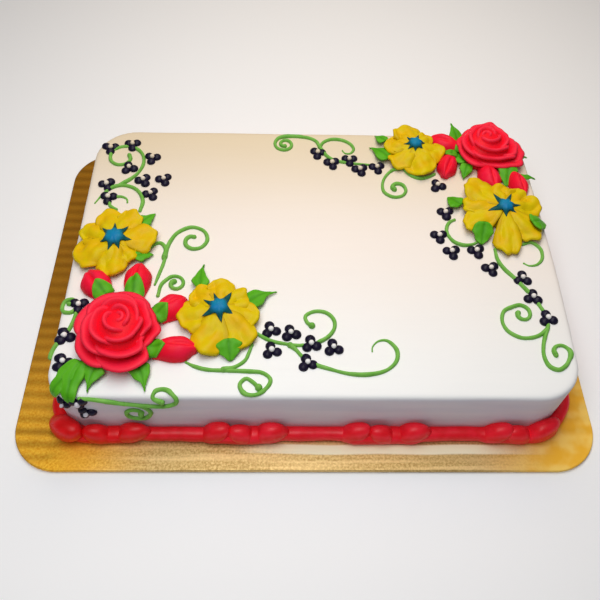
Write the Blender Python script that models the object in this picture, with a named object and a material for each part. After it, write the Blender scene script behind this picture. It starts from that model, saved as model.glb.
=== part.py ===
"""Quarter sheet cake on a foil covered board, iced smooth and piped by hand.

Sizes are in millimetres and become metres when a mesh is made. The origin is the
middle of the board's underside, +X runs along the long side, the front faces -Y
and +Z is up.
"""
import math

import bmesh
import bpy
from mathutils import Vector

MM = 0.001
GAP = 0.3
SHARP = 35.0

# The board: a 15 by 11 inch card, covered in gold foil
BOARD_X, BOARD_Y, BOARD_Z = 381.0, 279.4, 3.0
BOARD_CORNER = 31.0
BOARD_EDGE = 0.8

# The cake: 13 by 9 by 2 inches with its icing, a little off the board's middle
CAKE_X, CAKE_Y, CAKE_Z = 328.0, 230.0, 48.5
CAKE_AT = (4.35, 2.5)
CAKE_EDGE, EDGE_TURN, EDGE_PARTS = 5.0, 90.0, 3
CORNER_FRONT_LEFT, CORNER_FRONT_RIGHT = 19.0, 26.0
CORNER_BACK_LEFT, CORNER_BACK_RIGHT = 30.0, 27.0
SIDE_BOW = 3.0
CAKE_FOOT = BOARD_Z + GAP
CAKE_TOP = BOARD_Z + CAKE_Z

# The piped border: runs of plain rope between groups of three shells
ROPE_WIDTH, ROPE_HEIGHT = 8.0, 10.0
SHELL_WIDTH, SHELL_HEIGHT = 10.6, 13.5
SHELL_PITCH = 17.0
SHELL_SPAN = 0.62
SHELLS_IN_GROUP = 3
RINGS_PER_SHELL = 3
ROPE_TURN = 12.0
# Half of the border's cross section, as shares of its width out and its height up
ROPE_PROFILE = ((0.0, 0.0), (0.85, 0.0), (1.0, 0.38), (0.66, 0.86), (0.12, 1.0))
FRONT_GROUPS = (-134.0, -42.0, 50.0, 142.0)
SIDE_GROUPS = (-46.0, 46.0)

# Piped line work and berries
VINE_HALF, VINE_HEIGHT, VINE_SUNK = 1.5, 1.9, 0.5
VINE_STEP, VINE_TURN = 11.0, 38.0
VINE_END = 0.6
# Points that the smooth path is first worked out at between two given ones
PATH_PARTS = 16
# A dot's rings, each as a share of its radius and of its height (below 0 is sunk)
DOT_RADIUS, DOT_HEIGHT = 2.7, 2.7
DOT_RINGS = ((0.96, -0.2), (0.88, 0.5))
DOT_SPREAD = 3.7
DOT_SIDES = 5

# Every vine: the points it passes, then the curl it ends in, or None.
# A curl is its centre, its turn in degrees (plus is anticlockwise) and its last radius.
VINES = (
    (((-139, 58), (-131, 63.5), (-125, 71), (-122, 81), (-124, 91), (-131, 97.5)),
     (-138, 87, 330, 5)),
    (((-119, 34), (-118, 43), (-121, 51), (-127, 56.5), (-135, 58.5), (-142, 56),
      (-148, 49), (-152, 41)), None),
    (((-136, 35), (-141, 39), (-141, 45), (-135, 47.5), (-130, 45.5), (-129, 42)), None),
    (((-161, -84), (-157, -77), (-152, -67), (-149.5, -57), (-149.5, -48), (-153, -42.5)),
     (-153.5, -48.5, 380, 2.5)),
    (((-101.5, -30), (-99.5, -21), (-97.5, -12), (-97, -3), (-98, 3), (-101.5, 6.8)), None),
    (((-97.5, -8), (-96.5, 0), (-94.5, 7), (-90, 14.5)), (-79, 7.5, -427, 3)),
    (((-98.5, -39), (-97.5, -31), (-94.5, -26.5)), (-88, -29.5, -400, 2)),
    (((-76, -88.5), (-70, -91.5), (-62, -93.5), (-50, -94), (-38, -94.5), (-29, -95.5),
      (-24, -100), (-26.5, -106), (-33, -109.5), (-40, -108.5), (-42.5, -103.5),
      (-39, -99.5), (-35, -101.5), (-31, -105.5)), None),
    (((-37.5, -81), (-40, -87), (-46, -91.5), (-53, -93.5)), None),
    (((-34, -67), (-25, -72.5), (-15, -75), (-6, -76), (3, -74.5), (11, -70.5), (16, -64),
      (16.3, -57), (11.5, -51.5), (4, -50.5), (-2, -54), (-1, -59), (2, -61.5)), None),
    (((-12, -76), (-8.5, -79), (-4, -84.5), (2, -89), (12, -92.5), (24, -95.8), (36, -96.3),
      (47, -93.5), (54, -87), (55, -79), (50, -72.5), (44, -72.5), (40, -76.5),
      (39.5, -80)), None),
    (((106, 28.5), (102, 26), (99.5, 21), (99.5, 15), (103, 8.5), (109, 5.5), (115, 6)), None),
    (((131, -11), (136, -19), (142, -27.5), (148, -35), (152, -43), (155, -52), (155, -60),
      (152, -67), (149, -75), (147.7, -83), (149.5, -90), (155, -92.5), (161, -88.5),
      (164.5, -82)), (159.3, -80, 230, 4.5)),
    (((153, -64), (148, -67.5), (142, -69.5), (135, -69.3), (128, -64.5), (125.7, -57),
      (128, -49.5), (134, -46)), (139.5, -51.5, -330, 2.5)),
    (((157, 8.5), (161, 6), (163.5, 1), (162.5, -6), (158, -11), (152.5, -12), (149, -10)),
     None),
    (((72, 79), (65.5, 77), (60, 71), (57, 63.5)), (67, 58.5, 420, 2)),
    (((74.5, 79), (77, 74), (81, 70.5), (86, 69), (92, 70.5), (97, 73.5)), None),
    (((11, 101), (8.5, 107), (3, 110.5), (-5, 112), (-14, 112)), (-16, 103.5, 560, 2)),
    (((11, 101), (14.5, 106.5), (21, 109.5), (29, 108.5), (35, 104.5), (37.3, 99),
      (34.5, 94.5), (30.5, 94.5), (28.5, 97.5)), None),
    (((11, 101), (17, 90.5), (26, 85.5), (38, 83.5), (48, 82.5)), None),
    (((-140, -111), (-130, -113), (-120, -115.5), (-110, -118), (-100, -120), (-89, -121),
      (-81.5, -117.5), (-80.5, -112), (-86, -107), (-92.5, -107.5), (-94, -112),
      (-89, -115.5)), None),
    (((-112, -117.5), (-105, -120), (-100, -124), (-98, -131)), (-107, -131, -380, 3)),
)

# Berries in threes: the middle of each and the way its first dot points
BERRIES = (
    (-148.5, 96.5, 150), (-132.5, 100.5, 35), (-116, 86.5, 20), (-132, 76, 110),
    (-120, 63.5, 60), (-105, 64.5, 50), (-113, 50, 60), (-146, 59, 50), (-143, 46, 25),
    (-148.5, -47, 150), (-153, -70.5, 110), (-151, -89, 120),
    (-24.2, -65, 107), (-11.5, -67.3, 105), (1.3, -75.2, 100), (15.2, -77.8, 100),
    (-23.5, -80, 105), (-1.3, -88.8, 105),
    (100.3, -0.8, 40), (117.7, 0.2, 45), (125.2, -15, 45), (145.5, -23, 85),
    (149.5, -38.3, 80), (156, -55, 100), (93.2, 13.2, 35), (100.4, 34.8, 35),
    (98, 61.5, 110), (9.5, 94, 20), (20, 83.5, 40), (33.5, 87, 150), (41, 77, 45),
    (54, 79.3, 40),
    (-150.5, -118.5, 90), (-139, -112.5, 60), (-137.5, -129.5, 120),
)

# Roses: where, how wide across, how high, and the way the first petal faces
ROSES = {
    "rose_front": (-119.0, -72.0, 54.0, 23.0, 20.0),
    "rose_back": (141.0, 94.5, 50.0, 21.0, 65.0),
}
ROSE_SIDES = 10
# The cone that the petals stand on, as shares of the rose's half width and height
ROSE_CORE = ((0.66, 0.0), (0.64, 0.16), (0.41, 0.42), (0.22, 0.80), (0.07, 0.97))
# Each ring of petals: how many, where the petals stand, how far they lean out,
# how high they reach, all as shares of the rose, the arc of one petal and its parts
ROSE_RINGS = (
    (2, 0.16, 0.06, 1.00, 190.0, 5),
    (3, 0.32, 0.16, 0.97, 150.0, 4),
    (4, 0.48, 0.34, 0.83, 118.0, 3),
    (5, 0.64, 0.36, 0.40, 92.0, 3),
)
ROSE_RING_TURN = 37.0
# A petal's thickness at its middle height, how far its rim drops at the ends,
# how much it twists open and how far its foot is above the icing
ROSE_PETAL_THICK, ROSE_RIM_DROP, ROSE_TWIST, ROSE_FOOT = 1.8, 0.20, 0.9, 1.2

# Open flowers: where, each petal's direction and length, and the arms of the star
FLOWERS = {
    "flower_left": (-130.5, 1.5,
                    ((108, 28), (67, 28), (10, 28), (-48, 19), (-92, 28), (-150, 30), (158, 26)),
                    (-158, -106, -68, -10, 40, 90, 139)),
    "flower_middle": (-57.0, -54.5,
                      ((88, 24), (136, 24), (194, 27), (257, 31), (307, 31), (350, 26), (38, 22)),
                      (-146, -81, -30, 15, 60, 108, 155)),
    "flower_back": (83.0, 95.0,
                    ((109, 24), (169, 23), (224, 24), (283, 27), (345, 23), (45, 22)),
                    (-136, -94, 0, 74, 129, 180)),
    "flower_right": (141.0, 33.0,
                     ((128, 34), (182, 31), (277, 38), (322, 34), (10, 28), (62, 26)),
                     (-161, -88, -53, 6, 67, 123)),
}
# Heights above the icing: the crown, a front petal's rim and a back petal's rim
FLOWER_CROWN, RIM_FRONT, RIM_BACK = 10.0, 4.2, 8.4
PETAL_FALL = 1.7
PETAL_STEPS = (-1.0, -0.6, 0.0, 0.6, 1.0)
PETAL_NOTCH, PETAL_HALF_TURN, CREASE_TURN = 0.32, 27.0, 1.0
PETAL_TILT, PETAL_CUP = 0.9, 1.3
# Levels over a petal: share of its length and how far under its top surface
PETAL_LEVELS = ((0.25, 0.0), (0.62, 0.0), (1.0, 0.0), (0.97, 1.5))
# The mound under the petals' feet: radius and height of each level
FLOWER_MOUND = ((9.0, 6.8), (9.5, 0.0))
STAR_REACH, STAR_HUB, STAR_UNEVEN = 11.5, 4.2, 1.2
STAR_FOOT, STAR_HEIGHT = 11.8, 3.0
# An arm's tip: how far it droops and how thick it is there and at the hub's rim
STAR_DROOP, STAR_TIP_THICK, STAR_HUB_THICK = 1.0, 0.6, 1.5

# Rosebuds: foot, tip and width
BUDS = {
    "bud_front_1": ((-135.5, -43.0), (-147.5, -23.5), 14.5),
    "bud_front_2": ((-113.0, -42.5), (-112.5, -16.0), 17.5),
    "bud_front_3": ((-94.0, -54.5), (-82.5, -44.5), 14.0),
    "bud_front_4": ((-92.5, -80.5), (-74.0, -81.0), 17.0),
    "bud_back_1": ((114.0, 106.0), (102.0, 110.0), 14.0),
    "bud_back_2": ((114.5, 86.0), (103.0, 73.0), 15.0),
    "bud_back_3": ((138.5, 72.0), (139.0, 57.5), 13.0),
    "bud_back_4": ((158.5, 75.0), (160.0, 56.0), 13.0),
}
BUD_HEIGHT, BUD_SKIRT = 8.0, 1.0
BUD_RINGS, BUD_PARTS = 5, 6
# How far the bud's middle runs past its sides at both ends, as a share of its length
BUD_ROUND_END = 0.10
CALYX_CLEAR, CALYX_THICK = 1.0, 1.2
# The calyx starts this far behind the bud's foot and ends on it, as shares of its length
CALYX_START, CALYX_END = -0.10, 0.52
CALYX_PARTS_ACROSS, CALYX_PARTS_ALONG = 4, 3
# Buds whose green foot is out of sight under a rose
BARE_BUDS = ("bud_back_3",)

# Leaves: foot, tip and width
LEAVES = {
    "leaf_left_1": ((-112.0, 16.5), (-105.5, 30.5), 10.0),
    "leaf_left_2": ((-111.5, -9.5), (-102.5, -9.5), 8.0),
    "leaf_middle_1": ((-70.5, -34.5), (-69.5, -16.0), 9.0),
    "leaf_middle_2": ((-37.5, -47.5), (-25.0, -36.5), 11.0),
    "leaf_middle_3": ((-50.6, -80.6), (-52.8, -91.6), 11.4),
    "leaf_corner": ((-140.5, -92.5), (-147.0, -110.0), 16.0),
    "leaf_rose_1": ((-128.5, -95.0), (-131.5, -109.0), 11.0),
    "leaf_rose_2": ((-105.0, -93.5), (-99.0, -108.5), 12.0),
    "leaf_right_1": ((110.5, 41.0), (102.5, 50.0), 11.0),
    "leaf_right_2": ((124.5, 17.0), (122.0, 8.0), 12.0),
    "leaf_right_3": ((164.0, 26.5), (172.0, 24.0), 9.0),
    "leaf_back_1": ((60.5, 105.5), (55.5, 112.5), 7.0),
    "leaf_back_2": ((60.5, 88.0), (49.0, 99.0), 11.0),
    "leaf_back_3": ((119.0, 113.0), (115.0, 121.0), 9.0),
    "leaf_back_4": ((121.5, 79.5), (118.0, 68.0), 9.0),
    "leaf_back_5": ((165.5, 88.5), (171.5, 90.0), 7.0),
    "leaf_back_6": ((167.5, 67.5), (173.0, 66.5), 6.0),
}
LEAF_THICK, LEAF_ARCH, LEAF_GROOVE, LEAF_WAVE = 1.5, 2.6, 0.35, 0.35
LEAF_PARTS_ACROSS, LEAF_PARTS_ALONG = 2, 4


def smooth(x):
    x = min(1.0, max(0.0, x))
    return x * x * (3 - 2 * x)


def material(name, colour, roughness, metallic=0.0):
    mat = bpy.data.materials.new(name)
    mat.use_nodes = True
    shader = mat.node_tree.nodes["Principled BSDF"]
    shader.inputs["Base Color"].default_value = (*colour, 1)
    shader.inputs["Roughness"].default_value = roughness
    shader.inputs["Metallic"].default_value = metallic
    mat.diffuse_color = (*colour, 1)
    return mat


def solid(name, verts, faces, mat):
    """One closed mesh object from points in millimetres."""
    mesh = bpy.data.meshes.new(name)
    mesh.from_pydata([Vector(v) * MM for v in verts], [], faces)
    bm = bmesh.new()
    bm.from_mesh(mesh)
    bmesh.ops.recalc_face_normals(bm, faces=bm.faces)
    bm.to_mesh(mesh)
    bm.free()
    mesh.materials.append(mat)
    mesh.set_sharp_from_angle(angle=math.radians(SHARP))
    obj = bpy.data.objects.new(name, mesh)
    bpy.context.scene.collection.objects.link(obj)
    return obj


def fused(body, pieces, solver="EXACT"):
    """Union the loose solids in pieces, each (verts, faces), with an object."""
    group = bpy.data.collections.new(body.name + "_pieces")
    bpy.context.scene.collection.children.link(group)
    for i, (verts, faces) in enumerate(pieces):
        piece = solid(f"{body.name}_piece_{i}", verts, faces, body.data.materials[0])
        bpy.context.scene.collection.objects.unlink(piece)
        group.objects.link(piece)
    union = body.modifiers.new("union", "BOOLEAN")
    union.operation = "UNION"
    union.operand_type = "COLLECTION"
    union.collection = group
    union.solver = solver
    bpy.context.view_layer.update()
    result = body.evaluated_get(bpy.context.evaluated_depsgraph_get())
    mesh = bpy.data.meshes.new_from_object(result)
    body.modifiers.clear()
    mesh.set_sharp_from_angle(angle=math.radians(SHARP))
    body.data = mesh
    for piece in list(group.objects):
        bpy.data.objects.remove(piece)
    bpy.data.collections.remove(group)
    return body


def loft(rings, closed=False):
    """Solid through rings of points; an open run gets flat ends."""
    size = len(rings[0])
    verts = [p for ring in rings for p in ring]
    faces = []
    for j in range(len(rings) if closed else len(rings) - 1):
        low, high = j * size, (j + 1) % len(rings) * size
        for i in range(size):
            k = (i + 1) % size
            faces.append((low + i, low + k, high + k, high + i))
    if not closed:
        faces.append(tuple(reversed(range(size))))
        faces.append(tuple(range(len(verts) - size, len(verts))))
    return verts, faces


def sheet(top, bottom, across, along):
    """Thin solid between two surfaces over one grid, both split into like triangles."""
    verts, faces = [], []
    for side in (top, bottom):
        for j in range(along + 1):
            verts += [side(i / across, j / along) for i in range(across + 1)]
    row = across + 1
    under = row * (along + 1)
    for j in range(along):
        for i in range(across):
            a = j * row + i
            for tri in ((a, a + 1, a + row + 1), (a, a + row + 1, a + row)):
                faces.append(tri)
                faces.append(tuple(under + k for k in reversed(tri)))
    rim = list(range(row)) + [j * row + across for j in range(1, along + 1)]
    rim += [along * row + i for i in range(across - 1, -1, -1)]
    rim += [j * row for j in range(along - 1, 0, -1)]
    for k, p in enumerate(rim):
        q = rim[(k + 1) % len(rim)]
        faces.append((q, p, p + under, q + under))
    return verts, faces


def corner_of(x, y):
    if y < 0:
        return CORNER_FRONT_LEFT if x < 0 else CORNER_FRONT_RIGHT
    return CORNER_BACK_LEFT if x < 0 else CORNER_BACK_RIGHT


def bow(x, y):
    """How far the icing bulges to the right at the middle of the right side."""
    out = max(0.0, (x - CAKE_AT[0]) / (CAKE_X / 2)) ** 2
    return SIDE_BOW * out * math.cos(math.pi * min(0.5, abs(y - CAKE_AT[1]) / CAKE_Y))


def on_icing(x, y, lift=0.0):
    """Wrap a point of the flattened icing over the cake's edge and down its side."""
    x -= bow(x, y)
    px, py = x - CAKE_AT[0], y - CAKE_AT[1]
    radius = corner_of(px, py) - CAKE_EDGE
    qx = abs(px) - (CAKE_X / 2 - CAKE_EDGE - radius)
    qy = abs(py) - (CAKE_Y / 2 - CAKE_EDGE - radius)
    if qx > 0 and qy > 0:
        reach = math.hypot(qx, qy)
        out_x, out_y = qx / reach, qy / reach
    else:
        reach = max(qx, qy)
        out_x, out_y = float(qx > qy), float(qx <= qy)
    past = reach - radius
    if past <= 0:
        return Vector((x + bow(x, y), y, CAKE_TOP + lift))
    out_x, out_y = math.copysign(out_x, px), math.copysign(out_y, py)
    roll = min(past / CAKE_EDGE, math.pi / 2)
    down = max(0.0, past - CAKE_EDGE * math.pi / 2)
    side = (CAKE_EDGE + lift) * math.sin(roll) - past
    rise = (CAKE_EDGE + lift) * math.cos(roll) - CAKE_EDGE - down
    x, y = x + out_x * side, y + out_y * side
    return Vector((x + bow(x, y), y, CAKE_TOP + rise))


def rounded_outline(size_x, size_y, at, corner, inset, steps, side_parts):
    """Points anticlockwise round a rectangle with a round corner at each end."""
    points = []
    corners = ((1, -1, -90), (1, 1, 0), (-1, 1, 90), (-1, -1, 180))
    for sx, sy, start in corners:
        radius = corner(sx, sy)
        mid_x = sx * (size_x / 2 - radius)
        mid_y = sy * (size_y / 2 - radius)
        for k in range(steps + 1):
            angle = math.radians(start + 90 * k / steps)
            points.append(Vector((at[0] + mid_x + (radius - inset) * math.cos(angle),
                                  at[1] + mid_y + (radius - inset) * math.sin(angle))))
    divided = []
    for k, p in enumerate(points):
        q = points[(k + 1) % len(points)]
        parts = side_parts if (k + 1) % (steps + 1) == 0 else 1
        divided += [p.lerp(q, i / parts) for i in range(parts)]
    return divided


def cake_outline(inset, steps=6, side_parts=4):
    points = rounded_outline(CAKE_X, CAKE_Y, CAKE_AT, corner_of, inset, steps, side_parts)
    return [Vector((p.x + bow(p.x, p.y), p.y)) for p in points]


def catmull(points, step, turn_step):
    """Smooth path through the points, with points closer together where it turns."""
    pts = [Vector(p) for p in points]
    pts = [2 * pts[0] - pts[1]] + pts + [2 * pts[-1] - pts[-2]]
    fine = []
    for k in range(1, len(pts) - 2):
        a, b, c, d = pts[k - 1:k + 3]
        for i in range(PATH_PARTS):
            t = i / PATH_PARTS
            fine.append(0.5 * (2 * b + (c - a) * t + (2 * a - 5 * b + 4 * c - d) * t * t
                               + (3 * b - a - 3 * c + d) * t ** 3))
    fine.append(pts[-2])
    path, run, turn = [fine[0]], 0.0, 0.0
    for k in range(1, len(fine) - 1):
        before, after = fine[k] - fine[k - 1], fine[k + 1] - fine[k]
        run += before.length
        turn += abs(math.degrees(before.angle_signed(after, 0.0)))
        if run / step + turn / turn_step >= 1.0:
            path.append(fine[k])
            run, turn = 0.0, 0.0
    if (path[-1] - fine[-1]).length < 0.4 * step:
        path.pop()
    path.append(fine[-1])
    return path


def curl_points(start, curl):
    """Points of a spiral that closes in on the curl's centre."""
    x, y, turn, last = curl
    arm = Vector(start) - Vector((x, y))
    first, angle = arm.length, math.atan2(arm.y, arm.x)
    count = max(3, round(abs(turn) / 45))
    points = []
    for k in range(1, count + 1):
        share = k / count
        radius = first + (last - first) * share
        a = angle + math.radians(turn) * share
        points.append((x + radius * math.cos(a), y + radius * math.sin(a)))
    return points


def vine(points, curl):
    """A piped line with a raised back that thins towards both ends."""
    points = list(points)
    if curl:
        points += curl_points(points[-1], curl)
    path = catmull(points, VINE_STEP, VINE_TURN)
    rings = []
    for k, p in enumerate(path):
        ahead = path[min(k + 1, len(path) - 1)] - path[max(k - 1, 0)]
        side = Vector((-ahead.y, ahead.x)).normalized()
        size = VINE_END if k in (0, len(path) - 1) else 1.0
        half, high = VINE_HALF * size, VINE_HEIGHT * size
        profile = ((-half, -VINE_SUNK), (0.0, high), (half, -VINE_SUNK))
        rings.append([on_icing(*(p + side * s), lift) for s, lift in profile])
    return loft(rings)


def circle(x, y, radius, sides):
    for i in range(sides):
        a = 2 * math.pi * i / sides
        yield x + radius * math.cos(a), y + radius * math.sin(a)


def dot(x, y):
    """A piped dot: a low dome with a blunt point."""
    rings = []
    for share, up in DOT_RINGS:
        places = circle(x, y, share * DOT_RADIUS, DOT_SIDES)
        rings.append([on_icing(*p, up * DOT_HEIGHT) for p in places])
    verts, faces = loft(rings)
    faces.pop()
    verts.append(on_icing(x, y, DOT_HEIGHT))
    for i in range(DOT_SIDES):
        faces.append((DOT_SIDES + i, DOT_SIDES + (i + 1) % DOT_SIDES, 2 * DOT_SIDES))
    return verts, faces


def berry_places():
    for x, y, facing in BERRIES:
        for k in range(3):
            a = math.radians(facing + 120 * k)
            yield x + DOT_SPREAD * math.cos(a), y + DOT_SPREAD * math.sin(a)


def make_board(mat):
    levels = ((BOARD_EDGE, 0.0), (0.0, BOARD_EDGE), (0.0, BOARD_Z - BOARD_EDGE),
              (BOARD_EDGE, BOARD_Z))
    rings = []
    for inset, z in levels:
        outline = rounded_outline(BOARD_X, BOARD_Y, (0, 0), lambda x, y: BOARD_CORNER,
                                  inset, 6, 1)
        rings.append([(p.x, p.y, z) for p in outline])
    return solid("board", *loft(rings), mat)


def make_cake(mat):
    levels = [(0.0, CAKE_FOOT)]
    for k in range(EDGE_PARTS + 1):
        a = math.radians(EDGE_TURN * k / EDGE_PARTS)
        levels.append((CAKE_EDGE * (1 - math.cos(a)), CAKE_TOP - CAKE_EDGE * (1 - math.sin(a))))
    rings = [[(p.x, p.y, z) for p in cake_outline(inset)] for inset, z in levels]
    body = solid("cake", *loft(rings), mat)
    pieces = [vine(*v) for v in VINES] + [dot(x, y) for x, y in berry_places()]
    return fused(body, pieces)


def round_the_cake():
    """Points round the cake's foot, with the distance run to each and the way out there."""
    outline = cake_outline(0.0, steps=18, side_parts=12)
    run, runs, outs = 0.0, [], []
    for k, p in enumerate(outline):
        ahead = outline[(k + 1) % len(outline)] - outline[k - 1]
        outs.append(Vector((ahead.y, -ahead.x)).normalized())
        runs.append(run)
        run += (outline[(k + 1) % len(outline)] - p).length
    return outline, runs, outs, run


def foot_at(run, outline, runs, outs, total):
    """Point of the cake's foot and the way out from it, after a run round the cake."""
    k = max(i for i, r in enumerate(runs) if r <= run)
    after = (k + 1) % len(outline)
    share = (run - runs[k]) / ((runs[after] or total) - runs[k])
    return outline[k].lerp(outline[after], share), outs[k].lerp(outs[after], share).normalized()


def shell_groups(outline, runs):
    """Distance round the cake of the middle of each group of shells."""
    left, right = CAKE_AT[0] - CAKE_X / 2, CAKE_AT[0] + CAKE_X / 2
    front, back = CAKE_AT[1] - CAKE_Y / 2, CAKE_AT[1] + CAKE_Y / 2
    places = [(x, y) for x in FRONT_GROUPS for y in (front, back)]
    places += [(x, y) for y in SIDE_GROUPS for x in (left, right)]
    found = []
    for place in places:
        near = min(range(len(outline)), key=lambda k: (outline[k] - Vector(place)).length)
        along = Vector(place) - outline[near]
        ahead = (outline[(near + 1) % len(outline)] - outline[near]).normalized()
        found.append(runs[near] + along.dot(ahead))
    return sorted(found)


def shell_swell(run, total, groups):
    """0 on plain rope, 1 on the back of a shell."""
    swell = 0.0
    for group in groups:
        for k in range(SHELLS_IN_GROUP):
            middle = group + SHELL_PITCH * (k - (SHELLS_IN_GROUP - 1) / 2)
            away = (run - middle + total / 2) % total - total / 2
            swell = max(swell, 1 - smooth(abs(away) / (SHELL_SPAN * SHELL_PITCH)))
    return swell


def split_where_it_turns(run, gap, path):
    """Runs from one ring up to the next, halved until each part turns little."""
    total = path[-1]
    turn = foot_at(run % total, *path)[1].angle(foot_at((run + gap) % total, *path)[1])
    if math.degrees(turn) <= ROPE_TURN:
        return [run % total]
    first = split_where_it_turns(run, gap / 2, path)
    return first + split_where_it_turns(run + gap / 2, gap / 2, path)


def border_stops(path, groups):
    """Where the border has a ring: on every shell, and where the rope turns."""
    total = path[-1]
    steps = SHELLS_IN_GROUP * RINGS_PER_SHELL
    stops = sorted((group + SHELL_PITCH / RINGS_PER_SHELL * (k - steps / 2)) % total
                   for group in groups for k in range(steps + 1))
    spread = []
    for k, stop in enumerate(stops):
        gap = (stops[(k + 1) % len(stops)] - stop) % total
        spread += split_where_it_turns(stop, gap, path)
    return sorted(spread)


def make_border(mat):
    path = round_the_cake()
    groups = shell_groups(*path[:2])
    rings = []
    for run in border_stops(path, groups):
        foot, out = foot_at(run, *path)
        swell = shell_swell(run, path[-1], groups)
        wide = ROPE_WIDTH + (SHELL_WIDTH - ROPE_WIDTH) * swell
        high = ROPE_HEIGHT + (SHELL_HEIGHT - ROPE_HEIGHT) * swell
        ring = []
        for across, up in ROPE_PROFILE:
            at = foot + out * (GAP + wide * across)
            ring.append((at.x, at.y, BOARD_Z + GAP + high * up))
        rings.append(ring)
    return solid("border", *loft(rings, closed=True), mat)


def rose_petal(place, ring, k, turned):
    """One upright petal, leaning out and rolled back a little at its rim."""
    x, y, wide, high, _ = place
    count, stand, lean, reach, arc, parts = ring
    half = wide / 2

    def surface(u, v, inward):
        side = 2 * u - 1
        a = math.radians(turned + 360 * k / count + side * arc / 2)
        rim = 1 - ROSE_RIM_DROP * side * side
        r = half * (stand + lean * v) + ROSE_TWIST * side * v
        r -= inward * ROSE_PETAL_THICK * (1.25 - 0.5 * v)
        z = high * reach * rim * v
        return x + r * math.cos(a), y + r * math.sin(a), CAKE_TOP + GAP + ROSE_FOOT + z

    return sheet(lambda u, v: surface(u, v, 0), lambda u, v: surface(u, v, 1), parts, 1)


def make_rose(name, place, mat):
    x, y, wide, high, facing = place
    rings = []
    for share, up in ROSE_CORE:
        level = CAKE_TOP + GAP + high * up
        rings.append([(*p, level) for p in circle(x, y, share * wide / 2, ROSE_SIDES)])
    core = solid(name, *loft(rings), mat)
    petals = []
    for n, ring in enumerate(ROSE_RINGS):
        turned = facing + ROSE_RING_TURN * n
        petals += [rose_petal(place, ring, k, turned) for k in range(ring[0])]
    return fused(core, petals)


def flower_columns(petals):
    """Direction, place across its petal (-1 to 1) and reach of each column of points."""
    petals = sorted(petals)
    for k, (angle, length) in enumerate(petals):
        before = petals[k - 1][0] - 360 * (k == 0)
        after = petals[(k + 1) % len(petals)][0] + 360 * (k + 1 == len(petals))
        for side in PETAL_STEPS:
            room = abs((before if side < 0 else after) - angle) / 2 - CREASE_TURN
            turned = angle + side * min(PETAL_HALF_TURN, room)
            yield math.radians(turned), side, length * (1 - PETAL_NOTCH * abs(side) ** 3)


def make_flower(name, x, y, petals, mat):
    """Petals that fall from a crown to their rims, cupped and tilted, higher at the back."""
    columns = list(flower_columns(petals))
    rings = []
    for share, sunk in PETAL_LEVELS:
        ring = []
        for a, side, reach in columns:
            rim = RIM_FRONT + (RIM_BACK - RIM_FRONT) * (1 + math.sin(a)) / 2
            fall = (FLOWER_CROWN - rim) * share ** PETAL_FALL
            curl = (PETAL_TILT * side + PETAL_CUP * side * side) * share
            ring.append((x + share * reach * math.cos(a), y + share * reach * math.sin(a),
                         CAKE_TOP + FLOWER_CROWN - fall + curl - sunk))
        rings.append(ring)
    for radius, up in FLOWER_MOUND:
        rings.append([(x + radius * math.cos(a), y + radius * math.sin(a),
                       CAKE_TOP + GAP + up) for a, side, reach in columns])
    return solid(name, *loft(rings), mat)


def make_star(name, x, y, arms, mat):
    """A piped star: a peaked hub with thin arms that lie down along the petals."""
    arms = sorted(arms)
    top, under = [], []

    def add(angle, radius, fall, thick):
        a = math.radians(angle)
        level = CAKE_TOP + STAR_FOOT - fall
        for ring, lift in ((top, thick), (under, 0.0)):
            ring.append((x + radius * math.cos(a), y + radius * math.sin(a), level + lift))

    for k, arm in enumerate(arms):
        beyond = arms[(k + 1) % len(arms)] + 360 * (k + 1 == len(arms))
        add(arm, STAR_REACH + STAR_UNEVEN * math.cos(3 * k), STAR_DROOP, STAR_TIP_THICK)
        add((arm + beyond) / 2, STAR_HUB, 0.0, STAR_HUB_THICK)
    count = len(top)
    foot = CAKE_TOP + STAR_FOOT
    verts = top + under + [(x, y, foot + STAR_HEIGHT), (x, y, foot)]
    faces = []
    for i in range(count):
        k = (i + 1) % count
        faces += [(i, k, 2 * count), (count + k, count + i, 2 * count + 1),
                  (k, i, count + i, count + k)]
    return solid(name, verts, faces, mat)


def bud_half_width(t):
    return (0.36 + 0.64 * smooth(t / 0.55)) * (1 - 0.45 * smooth((t - 0.7) / 0.3) ** 1.5)


def bud_crown(t, side):
    """Height share over a bud: a groove parts its two petals towards the tip."""
    groove = 0.34 * smooth((t - 0.35) / 0.4) * math.exp(-(side / 0.28) ** 2)
    rise = 0.55 + 0.45 * smooth(t / 0.45) - 0.35 * smooth((t - 0.6) / 0.4)
    return rise * (1 - groove) * math.sqrt(max(0.0, 1 - side * side))


def bud_point(foot, tip, along, side, lift):
    foot, tip = Vector(foot), Vector(tip)
    ahead = tip - foot
    across = Vector((-ahead.y, ahead.x)).normalized()
    return on_icing(*(foot + ahead * along + across * side), lift)


def make_bud(name, foot, tip, wide, mat):
    rings = []
    for k in range(BUD_RINGS + 1):
        t = k / BUD_RINGS
        half = wide / 2 * bud_half_width(t)
        ring = [bud_point(foot, tip, t, -half * 0.8, GAP)]
        for i in range(BUD_PARTS + 1):
            side = -math.cos(math.pi * i / BUD_PARTS)
            lift = GAP + BUD_SKIRT + BUD_HEIGHT * bud_crown(t, side)
            reach = t + BUD_ROUND_END * (1 - side * side) * (t - 0.5)
            ring.append(bud_point(foot, tip, reach, half * side, lift))
        ring.append(bud_point(foot, tip, t, half * 0.8, GAP))
        rings.append(ring)
    return solid(name, *loft(rings), mat)


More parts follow.
